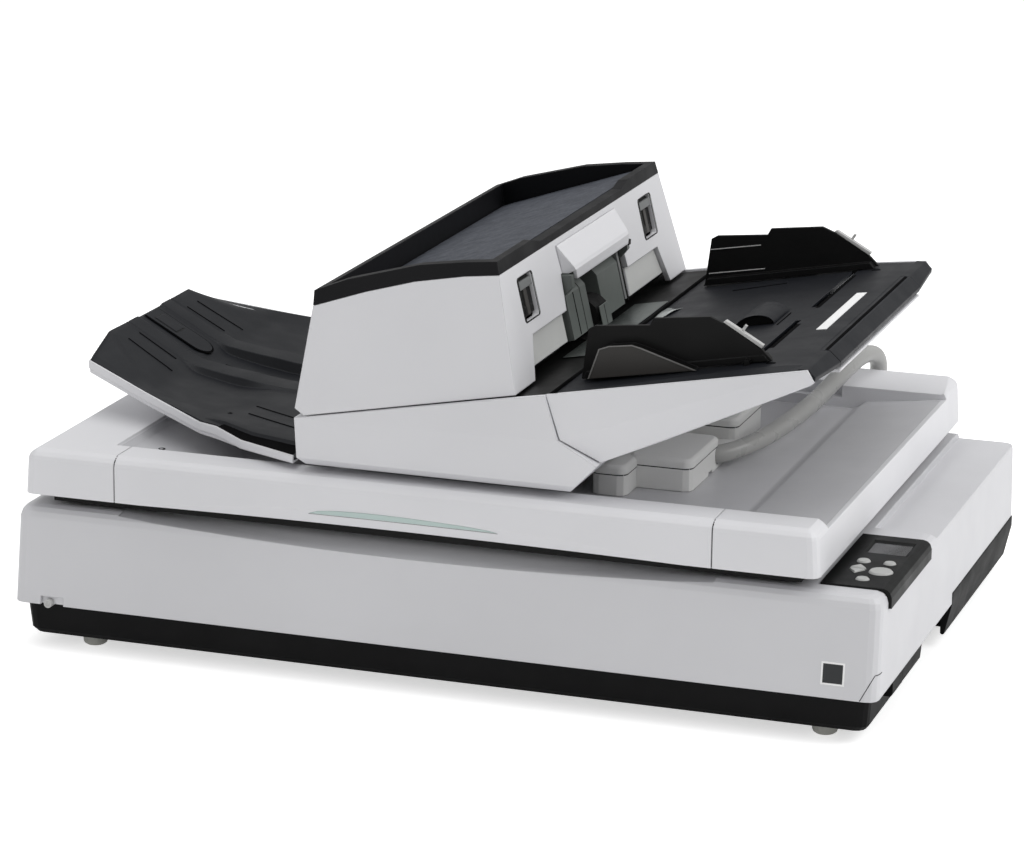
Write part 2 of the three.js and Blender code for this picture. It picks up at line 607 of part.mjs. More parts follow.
function feederLowerShell() {
  const seam = 0.6; // drop of the lower half's edge under the paper path
  const outer = twoSided([[-112, BELLY, 228], [-117.5, BELLY + 6, 234], [-118, path(-118) - seam, 237.4],
    [61.5, path(61.5) - seam, 236], [MOUTH.x, 246.6, 235.5], [98, 212, 237.4], [128.5, 194.5, 236],
    [112, BELLY + 6, 235], [106, BELLY, 229]]);
  const front = [[97.4, 212.4], [MOUTH.x, 246.9], [MOUTH.x, 260], [140, 260], [140, 190], [129, 194.6]];
  const inner = twoSided([[-114, 177, 226], [-114.5, 230, 232], [82, 262, 231], [93, 213, 231], [106, 177, 226]]);
  const sill = box(MOUTH.x - 8, MOUTH.x + 6, -228.5, 228.5, MOUTH.sill, 260); // lowers the wall under the mouth
  const exit = box(-125, -105, -165, 165, 197, 220); // notch where the sheets leave
  const neck = cylinder('z', 20, BELLY - 3, BELLY + 10, 16).translate(MID_X, 0, 0);
  return cut(outer, prismY(front, -260, 260), inner, sill, exit, neck);
}

function swivelPost() {
  const collar = cylinder('z', RING.outer - 2, RING.top + GAP, BELLY - 0.4, 32);
  const shaft = cylinder('z', RING.inner - 1, DECK.top - 5, RING.top + 2, 32);
  return join(collar, shaft);
}

function rollerSlots(x, radius, bands, z0, z1) {
  return bands.map((y) => box(x - radius - 3, x + radius + 3, y - 16, y + 16, z0, z1));
}

const FEED_BANDS = [-120, -40, 40, 120];
const EXIT_BANDS = [-100, 0, 100];
const ROLLER_HALF = 180; // half length of the long rollers
const NIP = 0.4; // half of the space between two facing rollers

function lowerGuide() {
  const top = (x) => path(x) - 2;
  const slab = (x0, x1, high, low) => [[x0, top(x0) - low], [x1, top(x1) - low], [x1, top(x1) - high],
    [x0, top(x0) - high]];
  const plate = prismY(slab(-108, MOUTH.x - 0.2, 0, 5), -228, 228);
  const ribs = [-180, -80, 0, 80, 180].map((y) => prismY(slab(-104, 76, 4, 14), y - 1.5, y + 1.5));
  const axleRoom = [FEED_ROLLERS, EXIT_ROLLERS].map(({ x, radius }) => {
    const under = path(x) - radius;
    return box(x - 5, x + 5, -190, 190, under - 16, under + 4);
  });
  return cut(join(plate, ...ribs),
    ...rollerSlots(FEED_ROLLERS.x, FEED_ROLLERS.radius, FEED_BANDS, 190, 260),
    ...rollerSlots(EXIT_ROLLERS.x, EXIT_ROLLERS.radius, EXIT_BANDS, 170, 260),
    box(34, 62, PICK.y - 22, PICK.y + 22, 200, 270), ...axleRoom);
}

// rubber bands on a thin shaft, turning about Y
function rollerBar(radius, bands, halfLength, bandHalf = 13) {
  const shaft = 3;
  const profile = [[0, -halfLength], [shaft, -halfLength]];
  for (const y of bands) {
    profile.push([shaft, y - bandHalf], [radius, y - bandHalf], [radius, y + bandHalf], [shaft, y + bandHalf]);
  }
  profile.push([shaft, halfLength], [0, halfLength]);
  return turned(profile, 14);
}

function separatorRoller() {
  return rollerBar(12, [0], 20, 15);
}

function buildFeederLower() {
  const lower = new THREE.Group();
  lower.add(named('feeder_lower_shell', feederLowerShell(), white));
  lower.add(named('swivel_post', swivelPost(), steel, [MID_X, 0, 0]));
  lower.add(named('lower_guide', lowerGuide(), black));
  const under = ({ x, radius }) => [x, 0, path(x) - radius - NIP];
  const feedRoller = rollerBar(FEED_ROLLERS.radius, FEED_BANDS, ROLLER_HALF);
  const exitRoller = rollerBar(EXIT_ROLLERS.radius, EXIT_BANDS, ROLLER_HALF);
  lower.add(named('feed_roller_lower', feedRoller, rubber, under(FEED_ROLLERS)));
  lower.add(named('exit_roller_lower', exitRoller, rubber, under(EXIT_ROLLERS)));
  lower.add(named('separator_roller', separatorRoller(), rubber, [PICK.x, PICK.y, path(PICK.x) - 12.4]));
  return lower;
}

// ---------------------------------------------------------------- feeder, upper cover
const RIM_LOW = [[-109, 296], [-67, 310], [-27, 321], [12.5, 328], [40.5, 331]];
const RIM_HIGH = [[-109, 308], [-82.5, 318.4], [-24.5, 333.9], [11.5, 338.8], [38, 341.3]];
const WELL = { left: -100, right: 31, inset: 10, wall: 2 };
const wellFloor = (x) => 325.2 + 0.345 * x; // floor of the sunken tray in the roof
const LATCH = { y: 159, z: 303.5 }; // middle of the latch windows

function bothSides(points, inset = 0) {
  return points.flatMap(([x, z]) => [[x, flare(z) - inset, z], [x, inset - flare(z), z]]);
}

function upperCoverHull(grow = 0) {
  const foot = 0.6 - grow;
  const roof = RIM_LOW.map(([x, z]) => [x + (x > 0 ? grow : -grow), z + grow]);
  return hull(bothSides([...roof, [face(243.6) + grow, path(61.5) + foot], [-109.5, path(-109.5) + foot],
    [-117.5 - grow, 217.7]], -grow));
}

function feederUpperShell() {
  const outer = upperCoverHull();
  const inner = hull(bothSides([[-105, 292], [-65, 305.5], [-26, 316.5], [12, 323.5], [36, 326], [57, 243], [52, 225],
    [-104, 205], [-113, 222]], WALL + 0.5));
  const mouth = twoSided([276, 236].flatMap((z) => [[40, z, mouthHalf(z)], [80, z, mouthHalf(z)]]));
  const pick = twoSided([[304, 78], [279, 82.5], [236, 88]].flatMap(([z, half]) => [[30, z, half], [90, z, half]]));
  const hoodRoot = box(30, 60, -74, 74, 303, 325);
  const windows = [-1, 1].map((side) => {
    const outline = roundedRectangle(-15, 15, -17.5, 17.5, 4, 2);
    return prismX(outline.map(([u, v]) => [side * LATCH.y + u, LATCH.z + v]), 35, 60);
  });
  const panel = mouthPanel();
  const open = cut(outer, inner, mouth, pick, hoodRoot, trayTub(GAP), ...windows);
  return join(open, panel, mirrorY(panel));
}

const mouthHalf = (z) => 168 + (275 - z) * 0.49; // half width of the mouth

// light panels, set back from the face, that close the lower mouth beside the pick mechanism
function mouthPanel() {
  const inner = 84;
  const slab = (z, half) => [face(z) - 4.5, face(z) - 7.5].map((x) => [x, -half, z]);
  const skin = [251, 275].flatMap((z) => [...slab(z, inner), ...slab(z, mouthHalf(z) - 0.7)]);
  const flange = [275, 284].flatMap((z) => [...slab(z, inner + 2), ...slab(z, 160)]);
  return join(hull(skin), hull(flange));
}

// room of the sunken tray in the roof: straight walls down to a flat sloping floor, grown by margin
function trayRoom(margin, top) {
  const { left, right, inset } = WELL;
  const ends = [left - margin, right + margin];
  return hull(bothSides(ends.flatMap((x) => [[x, wellFloor(x) - margin], [x, top]]), inset - margin));
}

function trayTub(grow = 0) {
  return common(trayRoom(WELL.wall + grow, 360), hull(bothSides([...RIM_HIGH, [-112, 270], [40, 270]])));
}

function topTrayRim() {
  const block = hull(bothSides([...RIM_HIGH, ...RIM_LOW]));
  const slab = join(cut(block, upperCoverHull(GAP)), trayTub());
  const lip = twoSided([[20, 336.2, 106], [50, 336.8, 106], [20, 343, 134], [50, 343, 134]]);
  return cut(slab, trayRoom(0, 360), lip);
}

function topTrayMat() {
  const edge = WELL.inset + 1;
  const row = (x) => [-1, 1].map((side) => [x, side * (flare(wellFloor(x)) - edge), wellFloor(x) + 0.9]);
  return sheet([row(WELL.left + 1), row(WELL.right - 1)], 0.6);
}

function latchLever() {
  const plate = twoSided([[43, 288], [46, 288], [38.5, 318], [41, 318]].map((corner) => [...corner, 10]));
  const grip = prismY([[45, 291], [48.2, 290], [46.8, 296], [43.5, 300]], -8, 8);
  const hub = cylinder('y', 3, -12, 12, 12).translate(39.5, 0, 316);
  return join(plate, grip, hub);
}

// wedge over the pick mechanism: sloping roof and front lip
function pickHood() {
  const roof = twoSided([[42.3, 327, 77.4], [42.3, 323.5, 77.4], [56, 310, 72.5], [57.6, 307, 71.5], [52, 304, 73],
    [44, 304, 76]]);
  const lip = twoSided([[54.6, 309, 72.5], [57.6, 307.5, 71.5], [58, 299.4, 68.5], [55.4, 299.4, 68.5]]);
  const hollow = twoSided([[44.5, 300], [44.5, 320], [52.6, 309.5], [54.9, 305], [54.9, 296]]
    .map((corner) => [...corner, 69]));
  const root = prismY([[38, 316.5], [46.5, 316.5], [46.5, 320.5], [42.5, 324.5], [38, 324.5]], -73.5, 73.5);
  return join(cut(join(roof, lip), hollow, upperCoverHull(GAP)), root);
}

// grey plates beside the pick roller, with a cheek under each end of the hood
function pickFrame() {
  const front = (z) => face(z) - 0.4;
  const outline = [[30, 312], [30, 250], [46, 247], [front(251), 251], [front(286), 286], [41, 296], [37.5, 312]];
  const plates = [[-78, -44], [-42, -28], [4, 58]].map(([y0, y1]) => prismY(outline, y0, y1));
  const bridge = box(28, 36, -78, 70, 268, 312);
  const cheek = [[36, 303.4], [55.5, 303.4], [56.6, 294], [50.8, 286.5], [36, 286.5]];
  const cheeks = [prismY(cheek, -77.6, -71), prismY(cheek, 71, 77)];
  const stay = box(28, 38, 66, 77, 290, 303.4); // ties the rear cheek to the bridge
  const bore = cylinder('y', 3 + GAP, -90, 90, 14).translate(PICK.x, 0, path(PICK.x) + PICK.lift);
  return cut(join(bridge, ...plates, ...cheeks, stay), bore);
}

function upperGuide() {
  const base = (x) => path(x) + 1.6;
  const thick = 5;
  const outline = [[-100, base(-100)], [46, base(46)], [46, base(46) + thick], [-100, base(-100) + thick]];
  const plate = prismY(outline, -215, 215);
  const wallBack = box(-2, 1, -208, 208, path(0) + 4, 290);
  const axleRoom = [FEED_ROLLERS, EXIT_ROLLERS].map(({ x, radius }) => {
    const over = path(x) + radius;
    return box(x - 5, x + 5, -190, 190, over - 6, over + 8);
  });
  return cut(join(plate, wallBack),
    ...rollerSlots(FEED_ROLLERS.x, FEED_ROLLERS.radius, FEED_BANDS, 200, 275),
    ...rollerSlots(EXIT_ROLLERS.x, EXIT_ROLLERS.radius, EXIT_BANDS, 200, 260),
    box(26, 80, -82, 82, 200, 280), ...axleRoom);
}

function pickRoller() {
  return rollerBar(15, [PICK.y], 68, 14);
}

function buildFeederUpper() {
  const upper = new THREE.Group();
  upper.add(named('feeder_upper_shell', feederUpperShell(), white));
  upper.add(named('top_tray_rim', topTrayRim(), black));
  upper.add(named('top_tray_mat', topTrayMat(), matGrey));
  upper.add(named('latch_lever_front', latchLever(), charcoal, [0, -LATCH.y, 0]));
  upper.add(named('latch_lever_rear', latchLever(), charcoal, [0, LATCH.y, 0]));
  upper.add(named('pick_hood', pickHood(), white));
  upper.add(named('pick_frame', pickFrame(), plateGrey));
  upper.add(named('upper_guide', upperGuide(), black));
  const feedZ = path(FEED_ROLLERS.x) + FEED_ROLLERS.radius + NIP;
  const feedRoller = rollerBar(FEED_ROLLERS.radius, FEED_BANDS, ROLLER_HALF);
  upper.add(named('feed_roller_upper', feedRoller, rubber, [FEED_ROLLERS.x, 0, feedZ]));
  upper.add(named('pick_roller', pickRoller(), rubber, [PICK.x, 0, path(PICK.x) + PICK.lift]));
  return upper;
}

// ---------------------------------------------------------------- hopper
const TRAY_PROFILE = [[86, 242.6], [94, 244], [235, 271.3], [262, 275], [282, 276.3]];
const tray = (x) => interpolate(TRAY_PROFILE, x); // height of the tray surface
const hopperHalf = (x) => 233.5 - (x - 86) * 0.168; // half width of the hopper
const hopperEdge = (x) => 246.8 + (x - 86) * 0.1486; // height of the shell's upper edge
const SKIN = 3.2; // side wall of the hopper shell
const NOSE = { start: 274.8, half: 134.2 };

function hopperShell() {
  const start = MOUTH.hopperStart;
  const side = [[start, hopperEdge(start), 0], [281.5, hopperEdge(281.5), 0], [287, 266.4, 1.5], [284.5, 264, 2],
    [253, 250.5, 2], [173.5, 214, 3], [129.4, 196, -1], [98.6, 212.8, -3.5]];
  const outer = twoSided(side.map(([x, z, dy]) => [x, z, hopperHalf(x) - dy]));
  const inside = [[90, 247], [101, 215], [130.5, 200], [173, 218], [252, 253.6], [262, 258], [300, 265.2], [300, 300],
    [90, 300]];
  const inner = twoSided(inside.map(([x, z]) => [x, z, hopperHalf(x) - SKIN]));
  const sideWall = hopperHalf(start) - SKIN;
  const mouthSide = box(80, 95, -sideWall, sideWall, MOUTH.sill, 260);
  return cut(outer, inner, mouthSide);
}

const GUIDE = { y: 172, slotX: 229, stemHalf: 1.8, rackOffset: 11.3, rackTop: -6.4, rackBottom: -8.8 };

function hopperTray() {
  const row = (x, inset) => {
    const half = hopperHalf(x) - inset;
    const rim = hopperEdge(x) - 0.4;
    return [[x, -half, rim], [x, 14 - half, tray(x)], [x, half - 14, tray(x)], [x, half, rim]];
  };
  const inset = SKIN + 0.4;
  const surface = sheet([MOUTH.hopperStart + 0.6, 94, 235, 262, NOSE.start].map((x) => row(x, inset)), 3);
  const noses = [-1, 1].map((side) => {
    const near = NOSE.half + GAP;
    const corner = (x, z, out) => [[x, side * near, z], [x, side * (hopperHalf(x) - out), z]];
    const root = NOSE.start - 2;
    return hull([...corner(root, 272, inset), ...corner(root, 275.5, inset + 14), ...corner(282, 275.6, inset + 2),
      ...corner(286.2, 270, inset + 1), ...corner(286, 266.6, inset + 2), ...corner(root, 266, inset + 4)]);
  });
  const guideSlots = [[24, 180], [-180, -24]].map(([y0, y1]) => {
    const half = 2.4;
    return box(GUIDE.slotX - half, GUIDE.slotX + half, y0, y1, 250, 290);
  });
  return cut(join(surface, ...noses, trayHump()), ...guideSlots);
}

// raised thumb hump in the middle of the hopper tray
function trayHump() {
  const arc = Array.from({ length: 9 }, (_, i) => {
    const angle = Math.PI * i / 8;
    return [194 + 15 * Math.cos(angle), tray(194) - 2 + 9.5 * Math.sin(angle)];
  });
  return prismY(arc, -24, 28);
}

const PULL = { near: 200, far: 271, z: 261.5, slope: 0.12, thick: 2.2, half: 128 };

function hopperExtension() {
  const under = (x) => PULL.z + PULL.slope * (x - PULL.far);
  const corner = (x, z, half) => [[x, -half, z], [x, half, z]];
  const level = (x, rise) => corner(x, under(x) + rise, PULL.half);
  const plate = hull([PULL.near, 278].flatMap((x) => [...level(x, 0), ...level(x, PULL.thick)]));
  const root = NOSE.start + GAP;
  const profile = [[root, 275.8], [282.5, 276.2], [291.5, 268.2], [291, 264.5], [286, 262.6], [root, 262.3]];
  const nose = hull(profile.flatMap(([x, z]) => corner(x, z, NOSE.half - 0.2)));
  return join(plate, nose);
}

// upright wall, guide rail, grey outer foot and the stem that passes through the tray slot
function sideGuide() {
  const over = (x, rise) => [x, tray(x) + rise];
  const wall = prismY([over(96, 1.6), over(235, 1.2), over(247.5, 1.2), [238, 283.4], [209, 299.6],
    [197.5, 304.1], [153, 299], [150, 293.3], [106, 289], [101, 286]], -1.6, 1.6);
  const rail = prismY([over(97, 1.4), over(235, 1), over(245, 1), over(241, 6), over(100, 7)], -2.6, 9);
  const foot = hull([[104.5, 249.5], [190, 264.2], [146, 277], [139, 278.5], [121, 276], [113, 273]]
    .flatMap(([x, z]) => [[x, -11, z - 0.5], [x, -1, z]]));
  const { slotX, rackBottom, stemHalf } = GUIDE;
  const stem = box(slotX - stemHalf, slotX + stemHalf, -8, 8, tray(slotX) + rackBottom, tray(slotX) + 4);
  return join(wall, rail, foot, stem);
}

function rack(x0, x1, y0, y1) {
  const z = tray(GUIDE.slotX);
  return box(x0, x1, y0, y1, z + GUIDE.rackBottom, z + GUIDE.rackTop);
}

function frontGuide() {
  const far = GUIDE.slotX - GUIDE.rackOffset - 4;
  const link = rack(far, GUIDE.slotX + GUIDE.stemHalf, -8, 8);
  return join(sideGuide(), link, rack(far, far + 4, -8, 186));
}

function rearGuide() {
  const far = GUIDE.slotX + GUIDE.rackOffset + 4;
  const link = rack(GUIDE.slotX - GUIDE.stemHalf, far, -8, 8);
  return join(mirrorY(sideGuide()), link, rack(far - 4, far, -186, 8));
}

function pinion() {
  const teeth = Array.from({ length: 24 }, (_, i) => {
    const radius = i % 2 ? 9 : 10.8;
    const angle = i / 24 * 2 * Math.PI;
    return [radius * Math.cos(angle), radius * Math.sin(angle)];
  });
  return join(prismZ(teeth, 0, 2.4), cylinder('z', 3, 1, 5, 12));
}

function buildHopper() {
  const hopper = new THREE.Group();
  hopper.add(named('hopper_shell', hopperShell(), white));
  hopper.add(named('hopper_tray', hopperTray(), charcoal));
  hopper.add(named('hopper_extension', hopperExtension(), charcoal));
  hopper.add(named('side_guide_front', frontGuide(), black, [0, -GUIDE.y, 0]));
  hopper.add(named('side_guide_rear', rearGuide(), black, [0, GUIDE.y, 0]));
  hopper.add(named('guide_pinion', pinion(), lightGrey, [GUIDE.slotX, 0, tray(GUIDE.slotX) + GUIDE.rackBottom]));
  return hopper;
}

// ---------------------------------------------------------------- stacker
const STACKER_STATIONS = [
  // [x, centre height, channel edge height, fold half width, fold height, outer half width, outer height]
  [-346, 220.5, 223, 83, 223.2, 123, 208],
  [-285, 187, 189, 129, 188.6, 150, 193.5],
  [-225, 176.5, 180, 140, 180, 176, 180.5],
  [-205, 175.5, 178.5, 150, 179, 189, 182],
  [-177, 175, 177.5, 160, 178, 205, 177.5],
  [-122.5, 174.5, 176.5, 170, 176.5, 229, 176.5],
];

// half of a row from the middle outwards: channel floor, channel edge, fold, outer edge
function stackerHalf([x, zc, ze, fold, zf, half, zo], lift, inset) {
  return [[x, 25, zc + lift], [x, 29, ze + lift], [x, fold, zf + lift], [x, half - inset, zo + lift]];
}

function bothHalves(half) {
  return [...half.map(([x, y, z]) => [x, -y, z]).reverse(), ...half];
}

const STACKER_SINK = 4.2; // depth of the shell's bed under the tray surface

function stackerShell() {
  const rows = STACKER_STATIONS.map((station) => {
    const [x, , , , , half, zo] = station;
    const rim = [[x, half - 1.9, zo], [x, half, zo - 0.3]];
    return bothHalves([...stackerHalf(station, -STACKER_SINK, 2), ...rim]);
  });
  return sheet(rows, 6.5, BELLY - 0.6);
}

function stackerTray() {
  return sheet(STACKER_STATIONS.map((station) => bothHalves(stackerHalf(station, 0, 2.3))), 3);
}

const EXTENSION = { length: 62, half: 12.5, thick: 2.4, x: -344.5, z: 221.5 };
const EXTENSION_TILT = Math.atan2(220.5 - 187, 61);
const FLAP_PIN = { x: 8, z: 1.2, radius: 0.9 };

// lies along +X from its outer end; the group tilts it onto the tray's slope
function stackerExtension() {
  const { length, half, thick } = EXTENSION;
  const outline = [[0, half], [0, -half]];
  for (let i = 0; i <= 8; i += 1) {
    const angle = -Math.PI / 2 + i / 8 * Math.PI;
    outline.push([length - half + half * Math.cos(angle), half * Math.sin(angle)]);
  }
  const pocket = box(5.5, 30.5, -8.5, 8.5, -1, thick + 1);
  const plate = cut(prismZ(outline, 0, thick), pocket);
  const pin = cylinder('y', FLAP_PIN.radius, -9, -6, 10).translate(FLAP_PIN.x, 0, FLAP_PIN.z);
  return join(plate, pin, pin.clone().translate(0, 15, 0));
}

function stopperFlap() {
  const leaf = box(6, 30, -8.2, 8.2, 0, EXTENSION.thick);
  const hole = cylinder('y', FLAP_PIN.radius + 0.25, -9, -5.7, 10).translate(FLAP_PIN.x, 0, FLAP_PIN.z);
  return cut(leaf, hole, mirrorY(hole));
}

function buildStacker() {
  const stacker = new THREE.Group();
  stacker.add(named('stacker_shell', stackerShell(), white));
  stacker.add(named('stacker_tray', stackerTray(), charcoal));
  const slope = new THREE.Group();
  slope.position.set(EXTENSION.x, 0, EXTENSION.z);
  slope.rotation.y = EXTENSION_TILT;
  slope.add(named('stacker_extension', stackerExtension(), charcoal));
  slope.add(named('stopper_flap', stopperFlap(), charcoal));
  stacker.add(slope);
  return stacker;
}

// ---------------------------------------------------------------- the whole scanner
const scanner = new THREE.Group();
scanner.add(buildBase(), buildLid(), buildCarriage());
scanner.add(buildFeederLower(), buildFeederUpper(), buildHopper(), buildStacker());

// the finished part stands with the middle of its footprint over the origin
const extent = new THREE.Box3().setFromObject(scanner);
scanner.position.x = -(extent.min.x + extent.max.x) / 2;
scanner.position.y = -(extent.min.y + extent.max.y) / 2;
export default scanner;
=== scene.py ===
"""Looks of the flatbed scanner with its swivelling document feeder.

All drawing below is in millimetres, from a point on the table under the middle of the base,
as in the CAD source. place() turns that into metres in the row frame.
"""
import json
import math

import bmesh
import bpy
import numpy as np
from mathutils import Matrix, Vector
from mathutils.bvhtree import BVHTree


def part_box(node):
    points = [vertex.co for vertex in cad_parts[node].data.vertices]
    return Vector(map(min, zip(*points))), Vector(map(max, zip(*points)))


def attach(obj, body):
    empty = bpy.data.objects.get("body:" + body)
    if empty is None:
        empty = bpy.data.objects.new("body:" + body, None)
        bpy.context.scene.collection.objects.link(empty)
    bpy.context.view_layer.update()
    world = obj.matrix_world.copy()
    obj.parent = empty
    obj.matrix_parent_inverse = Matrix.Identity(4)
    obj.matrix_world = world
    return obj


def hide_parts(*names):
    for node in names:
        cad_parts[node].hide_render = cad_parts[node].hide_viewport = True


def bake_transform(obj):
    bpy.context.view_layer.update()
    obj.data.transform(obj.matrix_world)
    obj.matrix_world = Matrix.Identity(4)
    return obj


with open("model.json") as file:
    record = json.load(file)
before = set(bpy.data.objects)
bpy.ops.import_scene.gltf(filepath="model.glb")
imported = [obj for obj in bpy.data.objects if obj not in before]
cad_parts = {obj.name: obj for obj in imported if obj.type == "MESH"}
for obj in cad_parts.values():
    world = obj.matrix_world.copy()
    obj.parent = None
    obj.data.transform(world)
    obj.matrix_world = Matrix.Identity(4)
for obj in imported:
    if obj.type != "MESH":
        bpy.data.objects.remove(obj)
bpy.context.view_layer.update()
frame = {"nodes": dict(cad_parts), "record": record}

# ------------------------------------------------------------------ place and size
GLASS_LEFT, GLASS_BACK = -245, 162  # drawn edges of the glass plate, which fix the shift
glass_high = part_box("flatbed_glass")[1]
glass_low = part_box("flatbed_glass")[0]
SHIFT = Vector((glass_low.x - GLASS_LEFT / 1000, glass_high.y - GLASS_BACK / 1000, 0))


def place(x, y, z):
    """A drawn point in millimetres, as metres in the row frame."""
    return Vector((x, y, z)) / 1000 + SHIFT


# ------------------------------------------------------------------ materials
def srgb(r, g, b):
    """Linear colour, with alpha, from 0 to 255 display values."""
    def linear(v):
        v /= 255
        return v / 12.92 if v <= 0.04045 else ((v + 0.055) / 1.055) ** 2.4
    return (linear(r), linear(g), linear(b), 1)


class Nodes:
    """Short calls for building a node tree."""

    def __init__(self, name):
        self.material = bpy.data.materials.new(name)
        self.material.use_nodes = True
        self.tree = self.material.node_tree
        self.surface = self.tree.nodes["Principled BSDF"]
        coordinates = self.add("ShaderNodeTexCoord")
        self.position = coordinates.outputs["Object"]

    def add(self, kind, **values):
        node = self.tree.nodes.new(kind)
        for key, value in values.items():
            setattr(node, key, value)
        return node

    def join(self, output, socket):
        self.tree.links.new(output, socket)

    def noise(self, scale, detail=2.0, roughness=0.5):
        node = self.add("ShaderNodeTexNoise")
        node.inputs["Scale"].default_value = scale
        node.inputs["Detail"].default_value = detail
        node.inputs["Roughness"].default_value = roughness
        self.join(self.position, node.inputs["Vector"])
        return node.outputs["Fac"]

    def stretched_noise(self, scales, detail=2.0):
        mapping = self.add("ShaderNodeMapping")
        mapping.inputs["Scale"].default_value = scales
        self.join(self.position, mapping.inputs["Vector"])
        node = self.add("ShaderNodeTexNoise")
        node.inputs["Scale"].default_value = 1.0
        node.inputs["Detail"].default_value = detail
        self.join(mapping.outputs["Vector"], node.inputs["Vector"])
        return node.outputs["Fac"]

    def span(self, value, low, high, start=0.3, end=0.7):
        node = self.add("ShaderNodeMapRange")
        node.inputs["From Min"].default_value = start
        node.inputs["From Max"].default_value = end
        node.inputs["To Min"].default_value = low
        node.inputs["To Max"].default_value = high
        self.join(value, node.inputs["Value"])
        return node.outputs["Result"]

    def mix(self, factor, first, second):
        node = self.add("ShaderNodeMix", data_type="RGBA")
        values = (factor, first, second)
        for value, socket in zip(values, (node.inputs[0], node.inputs[6], node.inputs[7])):
            if isinstance(value, (int, float, tuple)):
                socket.default_value = value
            else:
                self.join(value, socket)
        return node.outputs[2]

    def bump(self, height, distance, strength=1.0, below=None):
        node = self.add("ShaderNodeBump")
        node.inputs["Strength"].default_value = strength
        node.inputs["Distance"].default_value = distance
        self.join(height, node.inputs["Height"])
        if below is not None:
            self.join(below, node.inputs["Normal"])
        return node.outputs["Normal"]

    def rounded(self, radius):
        node = self.add("ShaderNodeBevel", samples=4)
        node.inputs["Radius"].default_value = radius
        return node.outputs["Normal"]

    def edge_mask(self, radius, gain=6.0):
        """About 1 along sharp edges and 0 on flat faces."""
        geometry = self.add("ShaderNodeNewGeometry")
        dot = self.add("ShaderNodeVectorMath", operation="DOT_PRODUCT")
        self.join(self.rounded(radius), dot.inputs[0])
        self.join(geometry.outputs["Normal"], dot.inputs[1])
        return self.span(dot.outputs["Value"], 1.0, 0.0, 1 - 1 / gain, 1.0)


def plastic(name, colour, roughness, grain=2200.0, depth=0.00003, tint=0.05, rubbed_edge_and_highlight=None,
            edge=0.0006, gloss=0.45):
    """Moulded plastic: fine grain, slow colour drift, uneven gloss, and patchy lighter edges that are partly
    rubbed and partly a painted highlight.
    """
    n = Nodes(name)
    darker = tuple(c * (1 - tint) for c in colour[:3]) + (1,)
    body = n.mix(n.span(n.noise(7, 3), 0, 1), colour, darker)
    # Lighter colour in patches along the edges: partly rubbing, partly a painted highlight where light
    # catches the edge.
    if rubbed_edge_and_highlight:
        rub_and_highlight = n.add("ShaderNodeMath", operation="MULTIPLY")
        n.join(n.edge_mask(edge * 1.5), rub_and_highlight.inputs[0])
        n.join(n.span(n.noise(60, 4), 0.1, 0.55), rub_and_highlight.inputs[1])
        body = n.mix(rub_and_highlight.outputs["Value"], body, rubbed_edge_and_highlight)
    n.join(body, n.surface.inputs["Base Color"])
    n.join(n.span(n.noise(35, 4), roughness - 0.06, roughness + 0.06), n.surface.inputs["Roughness"])
    normal = n.bump(n.noise(grain, 2, 0.6), depth, 0.6, below=n.rounded(edge))
    n.join(normal, n.surface.inputs["Normal"])
    n.surface.inputs["Specular IOR Level"].default_value = gloss
    return n.material


def metal(name, colour, roughness, along=(20, 1500, 1500)):
    """Brushed or machined metal with fine lines along one axis."""
    n = Nodes(name)
    darker = tuple(c * 0.8 for c in colour[:3]) + (1,)
    lines = n.stretched_noise(along, 3)
    n.join(n.mix(n.span(n.noise(30, 4), 0, 1), colour, darker), n.surface.inputs["Base Color"])
    n.join(n.span(lines, roughness - 0.08, roughness + 0.12), n.surface.inputs["Roughness"])
    n.join(n.bump(lines, 0.00003, 0.5, below=n.rounded(0.0003)), n.surface.inputs["Normal"])
    n.surface.inputs["Metallic"].default_value = 0.9
    return n.material


def rubbery(name, colour, roughness=0.8):
    n = Nodes(name)
    lighter = tuple(min(1, c * 1.5 + 0.01) for c in colour[:3]) + (1,)
    n.join(n.mix(n.span(n.noise(90, 5), 0, 1), colour, lighter), n.surface.inputs["Base Color"])
    n.join(n.span(n.noise(400, 3), roughness - 0.1, roughness + 0.1), n.surface.inputs["Roughness"])
    n.join(n.bump(n.noise(1500, 3), 0.0001, 0.6, below=n.rounded(0.0004)), n.surface.inputs["Normal"])
    n.surface.inputs["Specular IOR Level"].default_value = 0.25
    return n.material


def clear_glass():
    n = Nodes("scan_glass")
    n.surface.inputs["Base Color"].default_value = (0.86, 0.93, 0.92, 1)
    n.surface.inputs["Transmission Weight"].default_value = 0.9
    n.join(n.span(n.noise(25, 4), 0.02, 0.07), n.surface.inputs["Roughness"])
    return n.material


def display():
    """Dark glossy window with faint smears."""
    n = Nodes("display_window")
    cloud = n.span(n.noise(20, 2), 0, 1)
    n.join(n.mix(cloud, srgb(36, 37, 39), srgb(26, 27, 29)), n.surface.inputs["Base Color"])
    n.join(n.span(n.noise(60, 5), 0.12, 0.28), n.surface.inputs["Roughness"])
    return n.material


WHITE = plastic("white_plastic", srgb(226, 226, 229), 0.4, rubbed_edge_and_highlight=srgb(244, 244, 246), edge=0.0014)
# Copies of the white plastic: a lighter one on the lid and stacker as painted light, and a darker one on the
# base as painted shade.
PAINTED_LIGHT_WHITE = plastic("white_plastic_painted_light", srgb(229, 229, 232), 0.4, rubbed_edge_and_highlight=srgb(250, 250, 251),
                    edge=0.0014)
PAINTED_SHADE_WHITE = plastic("white_plastic_painted_shade", srgb(215, 215, 218), 0.42, rubbed_edge_and_highlight=srgb(240, 240, 242),
                     edge=0.0014)
